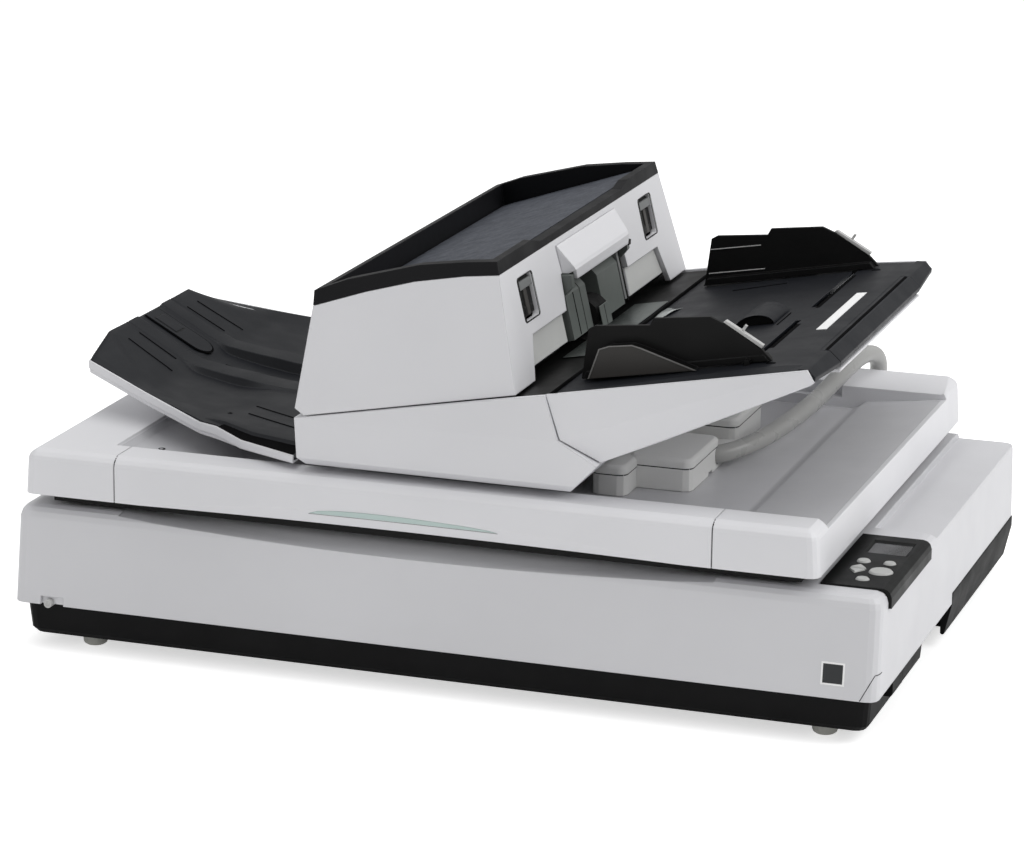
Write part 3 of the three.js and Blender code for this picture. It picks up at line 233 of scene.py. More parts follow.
# Grey of the skin over the lid's sunken floor: painted shade in the well.
WELL_SHADE_GREY = plastic("lid_well_painted_shade", srgb(200, 200, 203), 0.36, grain=1800, depth=0.00004)
CAP_WHITE = plastic("white_plastic_inner", srgb(206, 206, 205), 0.48, rubbed_edge_and_highlight=srgb(225, 225, 224))
# Grey of the panels beside the pick mechanism: painted shade.
MOUTH_SHADE_GREY = plastic("mouth_panel_painted_shade", srgb(206, 207, 205), 0.36, tint=0.16)
CARRIAGE_GREY = plastic("carriage_grey", srgb(238, 238, 236), 0.42, rubbed_edge_and_highlight=srgb(243, 243, 241),
                        edge=0.0014)
CABLE_GREY = plastic("cable_grey", srgb(174, 174, 172), 0.3, grain=900, depth=0.00008)
KEY_GREY = plastic("key_grey", srgb(186, 187, 185), 0.35, grain=3000, depth=0.00001,
                   rubbed_edge_and_highlight=srgb(212, 212, 210))
FOOT_GREY = plastic("foot_grey", srgb(178, 178, 172), 0.6, grain=1200, depth=0.00006)
SEAM = plastic("seam_shadow", srgb(40, 40, 42), 0.8, gloss=0.1)
# Near-black for grooves and dark lines, and for the painted shade in the stacker's gutters.
GROOVE_AND_SHADE_BLACK = plastic("groove_and_shade_black", srgb(5, 5, 6), 0.8, gloss=0.04)
BLACK = plastic("black_plastic", srgb(15, 15, 15), 0.45, rubbed_edge_and_highlight=srgb(60, 61, 62), edge=0.0008, gloss=0.18)
PAN_BLACK = plastic("pan_black", srgb(10, 10, 11), 0.55, grain=1600, depth=0.00005,
                    rubbed_edge_and_highlight=srgb(26, 26, 28), gloss=0.14)
RIM_BLACK = plastic("rim_black", srgb(20, 20, 22), 0.5, rubbed_edge_and_highlight=srgb(58, 58, 61), edge=0.0010, gloss=0.18)
PANEL_BLACK = plastic("panel_black", srgb(12, 13, 13), 0.45, rubbed_edge_and_highlight=srgb(62, 63, 64), edge=0.0008,
                      gloss=0.2)
TRAY = plastic("tray_charcoal", srgb(21, 23, 28), 0.46, grain=1500, depth=0.00005,
               rubbed_edge_and_highlight=srgb(66, 69, 75), edge=0.0008, gloss=0.24)
GUIDE_FOOT = plastic("guide_foot_grey", srgb(66, 64, 62), 0.4, rubbed_edge_and_highlight=srgb(120, 118, 115),
                     edge=0.0010, gloss=0.3)
# Lighter grey for the painted highlight along the guide feet's edges.
EDGE_HIGHLIGHT_GREY = plastic("painted_edge_highlight", srgb(128, 127, 125), 0.35)
# Light grey of the finger tabs and lock knob, also used for the painted glints on the guide ribs.
TAB_AND_GLINT_GREY = plastic("tab_and_glint_grey", srgb(196, 196, 195), 0.38, rubbed_edge_and_highlight=srgb(216, 216, 214))
# Mid grey for grey parts, and for the painted shade on a latch window's white side wall.
FRAME_AND_WALL_SHADE_GREY = plastic("frame_and_wall_shade_grey", srgb(118, 120, 120), 0.45)
STRIP_WHITE = plastic("strip_white", srgb(252, 252, 252), 0.5)
FILM = plastic("film_grey", srgb(176, 181, 179), 0.25, grain=600, depth=0.00004)
TEAL = plastic("teal_strip", srgb(190, 208, 204), 0.25, grain=800, depth=0.00002)
LABEL = plastic("blank_label", srgb(44, 46, 48), 0.5, grain=1200, depth=0.00002)
MAT = rubbery("tray_mat", srgb(66, 69, 76), 0.7)
PLATE = plastic("plate_grey", srgb(98, 103, 100), 0.42, rubbed_edge_and_highlight=srgb(130, 134, 131), grain=1400)
SHEET = metal("sheet_metal", srgb(150, 156, 154), 0.34, along=(40, 1200, 1200))
STEEL = metal("machined_steel", srgb(172, 174, 176), 0.3)
RUBBER = rubbery("roller_rubber", srgb(12, 12, 12), 0.9)
BOARD = plastic("circuit_board_green", srgb(34, 92, 60), 0.4, grain=500, depth=0.0001)
GLASS = clear_glass()
DISPLAY = display()

SLOT_MATERIAL = {
    "white_plastic": WHITE, "grey_plastic": CARRIAGE_GREY, "key_plastic": KEY_GREY, "black_plastic": BLACK,
    "tray_plastic": TRAY, "mat": MAT, "plate_metal": PLATE, "steel": STEEL, "rubber": RUBBER,
    "glass": GLASS, "screen": DISPLAY, "board": BOARD,
}
OWN_MATERIAL = {
    "lid_shell": PAINTED_LIGHT_WHITE, "stacker_shell": PAINTED_LIGHT_WHITE, "base_cover": PAINTED_SHADE_WHITE,
    "base_pan": PAN_BLACK, "top_tray_rim": RIM_BLACK, "panel_bezel": PANEL_BLACK,
    "backing_pad": CAP_WHITE, "transport_lock": FOOT_GREY,
    "foot_front_left": FOOT_GREY, "foot_front_right": FOOT_GREY,
    "foot_rear_left": FOOT_GREY, "foot_rear_right": FOOT_GREY,
    "latch_lever_front": BLACK, "latch_lever_rear": BLACK,
}

SMOOTH_ANGLE = math.radians(32)
SLIVER_ANGLE = math.radians(0.6)


def dissolve_slivers(obj):
    """Takes out hairline triangles. A CAD node's triangles stand apart, so its edges stay sharp in
    the mesh, and their soft look comes from the materials."""
    planar = obj.modifiers.new("planar", "DECIMATE")
    planar.decimate_type = "DISSOLVE"
    planar.angle_limit = SLIVER_ANGLE


def dress_cad_nodes():
    slots = {row["node"]: row["material_slot"] for row in frame["record"]["subparts"]}
    for name, obj in frame["nodes"].items():
        finish = OWN_MATERIAL.get(name, SLOT_MATERIAL[slots[name]])
        obj.data.materials.clear()
        obj.data.materials.append(finish)
        dissolve_slivers(obj)


dress_cad_nodes()


# ------------------------------------------------------------------ mesh pieces
def add_piece(name, vertices, faces, finish, body, bevel=0.0, at=None):
    """A new mesh piece from drawn points in millimetres, riding on a CAD body."""
    mesh = bpy.data.meshes.new(name)
    mesh.from_pydata([at(v) if at else place(*v) for v in vertices], [], faces)
    work = bmesh.new()
    work.from_mesh(mesh)
    bmesh.ops.remove_doubles(work, verts=work.verts, dist=1e-6)
    bmesh.ops.recalc_face_normals(work, faces=work.faces)
    work.to_mesh(mesh)
    work.free()
    mesh.materials.append(finish)
    obj = bpy.data.objects.new(name, mesh)
    bpy.context.scene.collection.objects.link(obj)
    for face in mesh.polygons:
        face.use_smooth = True
    if bevel:
        edges = obj.modifiers.new("edges", "BEVEL")
        edges.width = bevel / 1000
        edges.segments = 2
        edges.limit_method = "ANGLE"
        edges.angle_limit = SMOOTH_ANGLE
    obj.modifiers.new("shading", "WEIGHTED_NORMAL")
    if body:
        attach(obj, body)
    return obj


def loft(name, loops, finish, body, bevel=0.0, at=None):
    """A closed body through outlines of equal length, with a flat face at both ends."""
    count = len(loops[0])
    vertices = [point for loop in loops for point in loop]
    last = len(vertices) - count
    faces = [tuple(reversed(range(count))), tuple(range(last, len(vertices)))]
    for first in range(0, last, count):
        for i in range(count):
            a, b = first + i, first + (i + 1) % count
            faces.append((a, b, b + count, a + count))
    return add_piece(name, vertices, faces, finish, body, bevel, at)


def prism(name, outline, shift, finish, body, bevel=0.3):
    """A closed body between a flat outline of drawn points and the same outline moved by shift."""
    far = [tuple(a + b for a, b in zip(point, shift)) for point in outline]
    return loft(name, [outline, far], finish, body, bevel)


def block(name, low, high, finish, body, bevel=0.4):
    (x0, y0, z0), (x1, y1, z1) = low, high
    outline = [(x0, y0, z0), (x1, y0, z0), (x1, y1, z0), (x0, y1, z0)]
    return prism(name, outline, (0, 0, z1 - z0), finish, body, bevel)


def sheet(name, rows, drop, finish, body, bevel=0.0, skip=None, push=0.0):
    """A closed sheet: a grid of drawn points, and the same grid lower by drop and back by push.
    skip(x, y) leaves out grid cells whose middle it accepts."""
    width = len(rows[0])
    upper = [point for row in rows for point in row]
    lower = [(x, y + push, z - drop) for x, y, z in upper]
    total = len(upper)
    kept = []
    for r in range(len(rows) - 1):
        for c in range(width - 1):
            near, far = r * width + c, (r + 1) * width + c
            cell = (near, far, far + 1, near + 1)
            middle = [sum(upper[i][axis] for i in cell) / 4 for axis in (0, 1)]
            if skip is None or not skip(*middle):
                kept.append(cell)
    edges = dict.fromkeys((a, b) for cell in kept for a, b in zip(cell, cell[1:] + cell[:1]))
    faces = kept + [tuple(i + total for i in reversed(cell)) for cell in kept]
    faces += [(b, a, a + total, b + total) for a, b in edges if (b, a) not in edges]
    used = sorted({i for face in faces for i in face})
    index = {old: new for new, old in enumerate(used)}
    points = upper + lower
    return add_piece(name, [points[i] for i in used],
                     [tuple(index[i] for i in face) for face in faces], finish, body, bevel)


def between(table, x):
    """Straight interpolation in rows of (x, value) or (x, values...)."""
    xs = [row[0] for row in table]
    values = [np.interp(x, xs, [row[k] for row in table]) for k in range(1, len(table[0]))]
    return values[0] if len(values) == 1 else values


def arc(cx, cy, radius, start, end, steps):
    angles = [math.radians(start + (end - start) * i / steps) for i in range(steps + 1)]
    return [(cx + radius * math.cos(a), cy + radius * math.sin(a)) for a in angles]


def surface_of(node):
    """Search tree over a CAD node's faces."""
    work = bmesh.new()
    work.from_mesh(frame["nodes"][node].data)
    tree = BVHTree.FromBMesh(work)
    work.free()
    return tree


def seam(name, node, casts, width, finish, body, steps=6, lift=0.1, depth=0.3):
    """Narrow band on a CAD node along casts, each a drawn (point, direction) aimed at the surface."""
    tree = surface_of(node)
    rays = []
    for (start, aim), (end, next_aim) in zip(casts, casts[1:]):
        for i in range(steps):
            t = i / steps
            rays.append((place(*start).lerp(place(*end), t), Vector(aim).lerp(Vector(next_aim), t)))
    rays.append((place(*casts[-1][0]), Vector(casts[-1][1])))
    landed = [tree.ray_cast(point, aim.normalized()) for point, aim in rays]
    hits = [(where, normal) for where, normal, _, _ in landed if where is not None]
    loops = []
    for i, (where, normal) in enumerate(hits):
        ahead = hits[min(i + 1, len(hits) - 1)][0] - hits[max(i - 1, 0)][0]
        across = ahead.cross(normal).normalized() * width / 2000
        over, under = where + normal * lift / 1000, where - normal * depth / 1000
        loops.append([over - across, over + across, under + across, under - across])
    return loft(name, loops, finish, body, at=Vector)


# ------------------------------------------------------------------ painted shade in the lid's well
# (x, height) of the sunken floor from the left rim to the right one
WELL_FLOOR = 143.3
WELL = [(-280.6, 163.3), (-276.8, 157.8), (-245, 154.1), (-212.2, 150.3), (-201.9, WELL_FLOOR),
        (0, WELL_FLOOR), (221.9, WELL_FLOOR), (228.9, 145.3), (236, 150.3), (268, 154.1), (301, 158.0)]
WELL_FRONT, WELL_BACK = -211.7, 188.6
RAIL_ROOM = {"left": -151.5, "right": 165.5, "near": 45.8, "far": 58.2}


def lid_well_shade_skin():
    """Grey skin over the sunken lid floor that paints the shade in the well, open where the slide rails
    stand.
    """
    room = RAIL_ROOM
    stations = sorted(WELL + [(room["left"], WELL_FLOOR), (room["right"], WELL_FLOOR)])
    columns = [WELL_FRONT, -130, -room["far"], -room["near"], 0, room["near"], room["far"], 130, WELL_BACK]

    def over_rail(x, y):
        return room["left"] < x < room["right"] and room["near"] < abs(y) < room["far"]

    rows = [[(x, y, z) for y in columns] for x, z in stations]
    sheet("lid_well_shade_skin", rows, 0.22, WELL_SHADE_GREY, "lid", skip=over_rail)


def screw(name, x, y, z, body, radius=3.0):
    """Dark screw head with a hollow in its middle."""
    profile = ((radius, 0.0), (radius, 0.5), (radius * 0.55, 0.5), (radius * 0.55, 0.1))
    loops = [[(u, v, z + rise) for u, v in arc(x, y, reach, 0, 345, 15)] for reach, rise in profile]
    loft(name, loops, BLACK, body, 0.1)


def lid_screws():
    for side, y in (("front", -178), ("rear", 150)):
        screw(f"lid_screw_{side}", -257, y, 155.3, "lid")


# ------------------------------------------------------------------ front grip strip, label and corner flap
LID_FRONT, LID_BOTTOM = -247, 128
SCOOP = {"left": -267, "right": 222, "depth": 8, "height": 18}
GRIP = {"left": -102, "right": 52, "low": 136.7, "height": 4.8}


def scoop_surface(x, z):
    """y of the hollow in the lid's front at x and height z."""
    half = (SCOOP["right"] - SCOOP["left"]) / 2
    bulge = 1 - ((x - (SCOOP["left"] + SCOOP["right"]) / 2) / half) ** 2
    high = LID_BOTTOM - 0.5 + SCOOP["height"] * bulge
    low = LID_BOTTOM - 2
    y_high, y_low = LID_FRONT - 2, LID_FRONT + SCOOP["depth"] * bulge
    return y_high + (y_low - y_high) * (high - z) / (high - low)


def grip_strip():
    """Translucent strip in the hollow: straight below, bulging above."""
    steps = 20
    rows = []
    for i in range(steps + 1):
        x = GRIP["left"] + (GRIP["right"] - GRIP["left"]) * i / steps
        bulge = abs(math.sin(math.pi * (i / steps) ** 0.7)) ** 0.6
        top = GRIP["low"] + 0.25 + GRIP["height"] * bulge
        heights = (GRIP["low"], (GRIP["low"] + top) / 2, top)
        rows.append([(x, scoop_surface(x, z) - 0.35, z) for z in heights])
    sheet("grip_strip", rows, 0.0, TEAL, "lid", 0.1, push=0.6)
    line = [((x, -300, GRIP["low"] - 0.5), (0, 1, 0)) for x in (-103, -60, -20, 20, 53)]
    seam("grip_strip_edge", "lid_shell", line, 0.5, FRAME_AND_WALL_SHADE_GREY, "lid")


def lid_seams():
    """Dark joints between the end caps and the middle of the lid's front rail."""
    for name, x in (("left", -268), ("right", 224)):
        casts = [((x, -280, 128.6), (0, 1, 0)), ((x, -280, 150), (0, 1, 0)), ((x, -262, 175), (0, 0.8, -0.7)),
                 ((x, -235, 190), (0, 0, -1)), ((x, -214, 190), (0, 0, -1))]
        seam(f"lid_seam_{name}", "lid_shell", casts, 0.9, SEAM, "lid")


BASE_FRONT, BASE_SLOPE, BASE_LOW, BASE_TOP = -252.5, 10, 38, 116.5


def base_front(z):
    return BASE_FRONT + BASE_SLOPE * (z - BASE_LOW) / (BASE_TOP - BASE_LOW)


LABEL_BOX = {"left": 313.6, "right": 329, "low": 49.6, "high": 64.3}


def blank_label():
    """Plain dark square in a light frame, with nothing printed on it."""
    layers = (("label_frame", 1.5, 0.25, STRIP_WHITE), ("label_field", 0, 0.4, LABEL))
    for name, grow, out, finish in layers:
        x0, x1 = LABEL_BOX["left"] - grow, LABEL_BOX["right"] + grow
        z0, z1 = LABEL_BOX["low"] - grow, LABEL_BOX["high"] + grow
        corners = ((x0, z0), (x1, z0), (x1, z1), (x0, z1))
        outline = [(x, base_front(z) - out, z) for x, z in corners]
        prism(name, outline, (0, 0.5, 0), finish, "base", 0.1)


FLAP = {"left": 343, "low": 38.4, "high": 58.2, "lean": 0.51, "centre": (345, -237), "reach": 40}


def corner_flap():
    """Joint line of the small access flap round the lower front-right corner."""
    (cx, cy), reach = FLAP["centre"], FLAP["reach"]
    front = [((FLAP["left"] + FLAP["lean"] * (z - FLAP["low"]), -280, z), (0, 1, 0))
             for z in (FLAP["low"], 45, 52, 58)]
    corner = []
    for degrees in range(-50, 1, 10):
        u, v = math.cos(math.radians(degrees)), math.sin(math.radians(degrees))
        corner.append(((cx + reach * u, cy + reach * v, FLAP["high"]), (-u, -v, 0)))
    for name, casts in (("front", front), ("corner", corner)):
        seam(f"corner_flap_joint_{name}", "base_cover", casts, 0.55, SEAM, "base",
             steps=4, lift=0.2)


# (x, z) outline of a side, and (y start, y end, low edge) of the pads before it
CHEEK = [(355.4, 47.4), (356.5, 47), (356.5, 38.4), (350.4, 11.5), (348.6, 10.8), (347, 12), (347, 37),
         (355.4, 40)]
PADS = ((-195, -162, 24.4), (-162, -115, 27))


def pan_sides():
    """Deeper black sides of the pan behind the hand holds, and the pads in front of them."""
    for side, sign in (("right", 1), ("left", -1)):
        prism(f"pan_cheek_{side}", [(sign * x, 7, z) for x, z in CHEEK], (0, 236, 0), PAN_BLACK,
              "base", 0.8)
        for number, (near, far, low) in enumerate(PADS, 1):
            pad = [(347.6, 37.6), (355.2, 37.6), (355.2, low + 2), (353.6, low), (347.6, low)]
            prism(f"pan_pad_{side}_{number}", [(sign * x, near, z) for x, z in pad],
                  (0, far - near, 0), PAN_BLACK, "base", 0.6)


LOCK_X, LOCK_Z = -324.7, 39.5
# (radius, y) from the middle of the knob's face to the middle of its inner end
KNOB_PROFILE = [(0, -254.2), (1.5, -254.2), (2.1, -255.0), (3.0, -255.0), (3.4, -254.5), (3.4, -241),
                (0, -241)]


def lock_knob():
    """Small dimpled knob of the transport lock, with the shutter that closes its slot from inside."""
    turns = 24
    vertices = []
    for k in range(turns):
        angle = 2 * math.pi * k / turns
        vertices += [(LOCK_X + r * math.cos(angle), y, LOCK_Z + r * math.sin(angle))
                     for r, y in KNOB_PROFILE]
    n = len(KNOB_PROFILE)
    faces = []
    for k in range(turns):
        a, b = k * n, (k + 1) % turns * n
        faces += [(a + i, a + i + 1, b + i + 1, b + i) for i in range(1, n - 2)]
        faces += [(a, a + 1, b + 1), (a + n - 2, a + n - 1, b + n - 2)]
    knob = add_piece("lock_knob", vertices, faces, TAB_AND_GLINT_GREY, "transport_lock", 0.2)
    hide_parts("transport_lock")
    block("lock_shutter", (-345, -248.6, 38.1), (-299, -247.9, 45.4), WHITE, "transport_lock",
          0.1)


# ------------------------------------------------------------------ carriage caps and cable
# (left, right, near, far, top) of the corner housings, near and far from the middle line
BLOCKS = [(115, 167, 26, 108, 169.3), (93, 122, 92, 138, 167.8), (-152, -104, 26, 108, 169.3),
          (-111, -88, 92, 138, 167.8)]
BLOCK_RADIUS = 7.4
CAP_RINGS = [(-0.45, -6.9), (-0.45, -2.6), (0.4, -0.9), (2.4, 0.35)]  # (inset, height from the top)
JOINT_GAP = 0.12


def rounded_outline(x0, x1, y0, y1, radius, z, steps=5):
    corners = ((x1 - radius, y1 - radius, 0), (x0 + radius, y1 - radius, 90),
               (x0 + radius, y0 + radius, 180), (x1 - radius, y0 + radius, 270))
    return [(x, y, z) for cx, cy, start in corners
            for x, y in arc(cx, cy, radius, start, start + 90, steps)]


def carriage_caps():
    """Lids on the four corner housings, a little wider than the housing, with a dark joint below."""
    for side, sign in (("rear", 1), ("front", -1)):
        for number, (x0, x1, y0, y1, top) in enumerate(BLOCKS, 1):
            ya, yb = sorted((sign * y0, sign * y1))
            gap = rounded_outline(x0 - JOINT_GAP, x1 + JOINT_GAP, ya - JOINT_GAP, yb + JOINT_GAP,
                                  BLOCK_RADIUS, top - 7.7)
            prism(f"carriage_joint_{side}_{number}", gap, (0, 0, 0.8), SEAM, "slide_carriage",
                  0)
            loops = [rounded_outline(x0 + d, x1 - d, ya + d, yb - d, BLOCK_RADIUS - d, top + rise)
                     for d, rise in CAP_RINGS]
            loft(f"carriage_cap_{side}_{number}", loops, CARRIAGE_GREY, "slide_carriage",
                 0.25)


CABLE_POINTS = [(150, -30, 155), (160, -30, 155), (168, -30, 155), (180, -15, 156.5), (191, 14, 158.5),
                (199, 55, 160.5), (203.5, 105, 161.5), (206, 150, 163), (212, 184, 171),
                (219, 214, 178.5), (224, 232, 181), (229, 246, 178), (231, 254, 168), (230, 257, 150)]
CABLE_RADIUS = 7.5
CABLE_SIDES = 28
COLLAR = {"start": 17, "end": 27, "rise": 0.35, "pitch": 3.2}


def smooth_path(points, per_span=6):
    """Catmull-Rom curve through the points."""
    padded = [points[0]] + list(points) + [points[-1]]
    curve = []
    for a, b, c, d in zip(padded, padded[1:], padded[2:], padded[3:]):
        a, b, c, d = (Vector(v) for v in (a, b, c, d))
        for i in range(per_span):
            t = i / per_span
            curve.append(0.5 * (2 * b + (c - a) * t + (2 * a - 5 * b + 4 * c - d) * t * t
                                + (3 * b - a - 3 * c + d) * t ** 3))
    return curve + [Vector(points[-1])]


def cable_jacket():
    """Round cable with a ribbed collar where it leaves the carriage."""
    curve = smooth_path(CABLE_POINTS)
    turns = [2 * math.pi * k / CABLE_SIDES for k in range(CABLE_SIDES)]
    along = 0.0
    rings = []
    side_axis = Vector((0, 0, 1))
    for i, point in enumerate(curve):
        ahead = (curve[min(i + 1, len(curve) - 1)] - curve[max(i - 1, 0)]).normalized()
        side_axis = (side_axis - ahead * side_axis.dot(ahead)).normalized()
        other = ahead.cross(side_axis)
        if i:
            along += (point - curve[i - 1]).length
        radius = CABLE_RADIUS
        if COLLAR["start"] < along < COLLAR["end"]:
            radius += COLLAR["rise"] * (1 + math.cos(2 * math.pi * along / COLLAR["pitch"])) / 2
        rings.append([tuple(point + radius * (math.cos(a) * side_axis + math.sin(a) * other))
                      for a in turns])
    jacket = loft("cable_jacket", rings, CABLE_GREY, None)
    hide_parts("cable")
    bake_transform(jacket)


# ------------------------------------------------------------------ stacker surface
# (x, middle height, edge height, fold half width, fold height, outer half width, outer height)
STACKER = [(-346, 220.5, 223, 83, 223.2, 123, 208), (-315, 203.2, 205.6, 106, 205.4, 136, 200.4),
           (-296, 192.6, 195, 121, 194.8, 145.5, 195.6),
           (-285, 187.4, 189.6, 129, 189.2, 150, 193.5),
           (-272, 184.4, 186.8, 132, 186.6, 155.5, 190.6),
           (-250, 180.2, 183, 135.5, 182.8, 165.3, 186.4),
           (-225, 176.7, 180, 140, 180, 176, 181.6), (-205, 175.5, 178.5, 150, 179, 189, 182.9),
           (-177, 175, 177.5, 160, 178, 205, 177.5), (-122.5, 174.5, 176.5, 170, 176.5, 229, 176.5)]
# (x, value) tables; the channel depth is below the middle height
CHANNEL_DEPTH = [(-346, -1.4), (-292, -1.4), (-284, 2.0), (-270, 2.6), (-225, 3.6), (-122.5, 3.6)]
RIDGE_RISE = [(-346, 0.2), (-300, 0.3), (-280, 2.2), (-240, 3.2), (-205, 1.6), (-122.5, 0.8)]
SKIRT_DROP = [(-346, 0.0), (-296, 0.1), (-280, 2.8), (-238, 3.2), (-212, 0.4), (-122.5, 0.2)]
RIDGE_EDGE = [(-346, 44), (-300, 46), (-240, 50), (-122.5, 52)]
GUTTER_DEPTH = [(-346, 0.0), (-224, 0.0), (-210, 2.4), (-122.5, 3.2)]
GUTTER_EDGE = [(-346, 8), (-224, 10), (-208, 18), (-140, 30), (-122.5, 34)]
CHANNEL_HALF = 22


def stacker_section(x):
    """Half of a cross-section, from the middle outwards."""
    zc, ze, fold, zf, half, zo = between(STACKER, x)
    floor = zc - between(CHANNEL_DEPTH, x)
    ridge = ze + between(RIDGE_RISE, x)
    beside = ze - between(SKIRT_DROP, x)
    edge = between(RIDGE_EDGE, x)
    outer = half - 2.3
    gutter = outer - between(GUTTER_EDGE, x)
    drop = between(GUTTER_DEPTH, x)

    def slope(y):
        return zf + (zo - zf) * (y - fold) / (outer - fold)

    points = [(0, floor), (CHANNEL_HALF - 1, floor), (CHANNEL_HALF + 0.5, floor + 0.6),
              (CHANNEL_HALF + 2.2, ridge - 0.6), (CHANNEL_HALF + 3.4, ridge),
              (edge - 1.5, ridge), (edge, ridge - 0.5), (edge + 2.2, beside + 0.4), (edge + 4, beside),
              (fold - 6, zf + 0.15), (fold, zf), (fold + 6, slope(fold + 6))]
    gutter = max(gutter, fold + 8)
    points += [(gutter, slope(gutter)), (gutter + 1.6, slope(gutter + 1.6) - drop),
               (outer - 1.4, zo - drop), (outer, zo)]
    return points


def stacker_surface():
    first, last = STACKER[0][0], STACKER[-1][0]
    stations = [first + 4.5 * i for i in range(50)] + [last]
    rows = []
    for x in stations:
        half = stacker_section(x)
        rows.append([(x, -y, z) for y, z in reversed(half[1:])] + [(x, y, z) for y, z in half])
    piece = sheet("stacker_surface", rows, 1.6, TRAY, "stacker")
    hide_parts("stacker_tray")


def stacker_height(x, y):
    half = stacker_section(x)
    return float(np.interp(abs(y), [point[0] for point in half], [point[1] for point in half]))


def rib(name, start, end, height, body, finish, width=1.1, lift=0.45, steps=8):
    """A low moulded line that follows a surface from start to end, both (x, y)."""
    (xa, ya), (xb, yb) = start, end
    length = math.hypot(xb - xa, yb - ya)
    nx, ny = -(yb - ya) / length * width / 2, (xb - xa) / length * width / 2
    rows = []
    for i in range(steps + 1):
        t = i / steps
        x, y = xa + (xb - xa) * t, ya + (yb - ya) * t
        rows.append([(u, v, height(u, v) + lift) for u, v in ((x - nx, y - ny), (x + nx, y + ny))])
    sheet(name, rows, lift + 0.3, finish, body)


TONGUE = {"x": -344.5, "z": 221.5, "length": 62, "half": 12.5, "slope": math.atan2(33.5, 61)}


def on_tongue(point):
    """Place for a point drawn along the sliding tongue: from its outer end, sideways, up."""
    along, y, up = point
    slope = TONGUE["slope"]
    return place(TONGUE["x"] + along * math.cos(slope) + up * math.sin(slope), y,
                 TONGUE["z"] - along * math.sin(slope) + up * math.cos(slope))


def tongue_plate(name, outline, low, high, finish, body, bevel=0.2):
    loops = [[(u, v, up) for u, v in outline] for up in (low, high)]
    return loft(name, loops, finish, body, bevel, at=on_tongue)


def tongue():
    """Thin sliding tongue that lies flush in a dark groove, with its fold-up stopper."""
    length, half = TONGUE["length"], TONGUE["half"]

    def outline(grow):
        tip = arc(length - half, 0, half + grow, -90, 90, 16)
        return [(0, half + grow), (0, -half - grow)] + tip

    tongue_plate("tongue_groove", outline(1.8), 0.05, 0.35, GROOVE_AND_SHADE_BLACK, "stacker", 0)
    plate = tongue_plate("tongue_plate", outline(0), 0.4, 0.9, TRAY, "stacker_extension")
    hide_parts("stacker_extension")
    recess = [(6.8, -8.8), (31, -8.8), (31, 8.8), (6.8, 8.8)]
    tongue_plate("tongue_recess", recess, 0.7, 1.0, BLACK, "stacker_extension",
                 0.1)
    leaf = [(8, -7.6), (29.6, -7.6), (29.6, 7.6), (8, 7.6)]
    flap = tongue_plate("stopper_leaf", leaf, 0.9, 1.35, TRAY, "stopper_flap")
    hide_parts("stopper_flap")


STACKER_LINES = [((-333, 72), (-292, 76)), ((-333, 50), (-299, 52)), ((-203, 108), (-160, 128)),
                 ((-200, 132), (-150, 155))]


def stacker_details():
    for number, (start, end) in enumerate(STACKER_LINES, 1):
        for side, sign in (("rear", 1), ("front", -1)):
            a, b = ((x, sign * y) for x, y in (start, end))
            rib(f"stacker_line_{side}_{number}", a, b, stacker_height, "stacker", GROOVE_AND_SHADE_BLACK)
    rib("stacker_channel_slot", (-274, -5), (-257, -5), stacker_height, "stacker", GROOVE_AND_SHADE_BLACK,
        width=1.8)
    # Black sheets on the gutter floors: painted shade in the gutters.
    for side, sign in (("front", -1), ("rear", 1)):
        rows = [[(x, sign * y, z + 0.25) for y, z in stacker_section(x)[-3:-1]]
                for x in range(-206, -123, 6)]
        sheet(f"stacker_gutter_shade_{side}", rows, 0.5, GROOVE_AND_SHADE_BLACK, "stacker")
    z = stacker_height(-247, 0)
    block("stacker_sensor_window", (-252, -13, z - 0.5), (-242, -4, z + 0.4), BLACK, "stacker",
          0.2)
    for side, y in (("front", -138), ("rear", 138)):
        screw(f"stacker_screw_{side}", -214, y, stacker_height(-214, y) - 0.1, "stacker", 2.0)


# ------------------------------------------------------------------ hopper details
TRAY_PROFILE = [(86, 242.6), (94, 244), (235, 271.3), (262, 275), (282, 276.3)]
GUIDE_Y = 172
STRIP_X, STRIP_Y = (253.6, 258, 262), (-64.5, 69)


def tray_height(x, y=0.0):
    return float(between(TRAY_PROFILE, x))


def size_strip():
    rows = [[(x, y, tray_height(x) + 0.35) for y in STRIP_Y] for x in STRIP_X]
    sheet("size_strip", rows, 0.6, STRIP_WHITE, "hopper", 0.1)


HUMP = {"x": 194, "half": 16.2, "height": 8.6, "front": -28, "flat": 4, "back": 29, "sunk": 0.6,
        "mouth_half": 13.6, "mouth_height": 6.6, "mouth_depth": 3.3}


def thumb_vault():
    """Vault in the tray for the fingers: open at its front end, running out flush at the back."""
    rows = []
    run = (HUMP["back"] - HUMP["flat"]) / 6
    for y in [HUMP["front"], -16, -5, HUMP["flat"]] + [HUMP["flat"] + run * i for i in range(1, 7)]:
        share = min(1.0, max(0.0, (HUMP["back"] - y) / (HUMP["back"] - HUMP["flat"])))
        rise = HUMP["height"] * math.sin(math.pi / 2 * share) ** 0.8 if share else 0.0
        row = []
        for i in range(17):
            angle = math.pi * (1 - i / 16)
            x = HUMP["x"] + HUMP["half"] * math.cos(angle)
            row.append((x, y, tray_height(x) - HUMP["sunk"] + (rise + HUMP["sunk"]) * math.sin(angle)))
        rows.append(row)
    sheet("thumb_vault", rows, 0.5, TRAY, "hopper")
    outline = []
    for i in range(13):
        angle = math.pi * i / 12
        x = HUMP["x"] + HUMP["mouth_half"] * math.cos(angle)
        z = tray_height(x) + 0.1 + HUMP["mouth_height"] * math.sin(angle)
        outline.append((x, HUMP["front"] + HUMP["mouth_depth"], z))
    prism("vault_shadow_plate", outline, (0, 0.4, 0), BLACK, "hopper", 0)


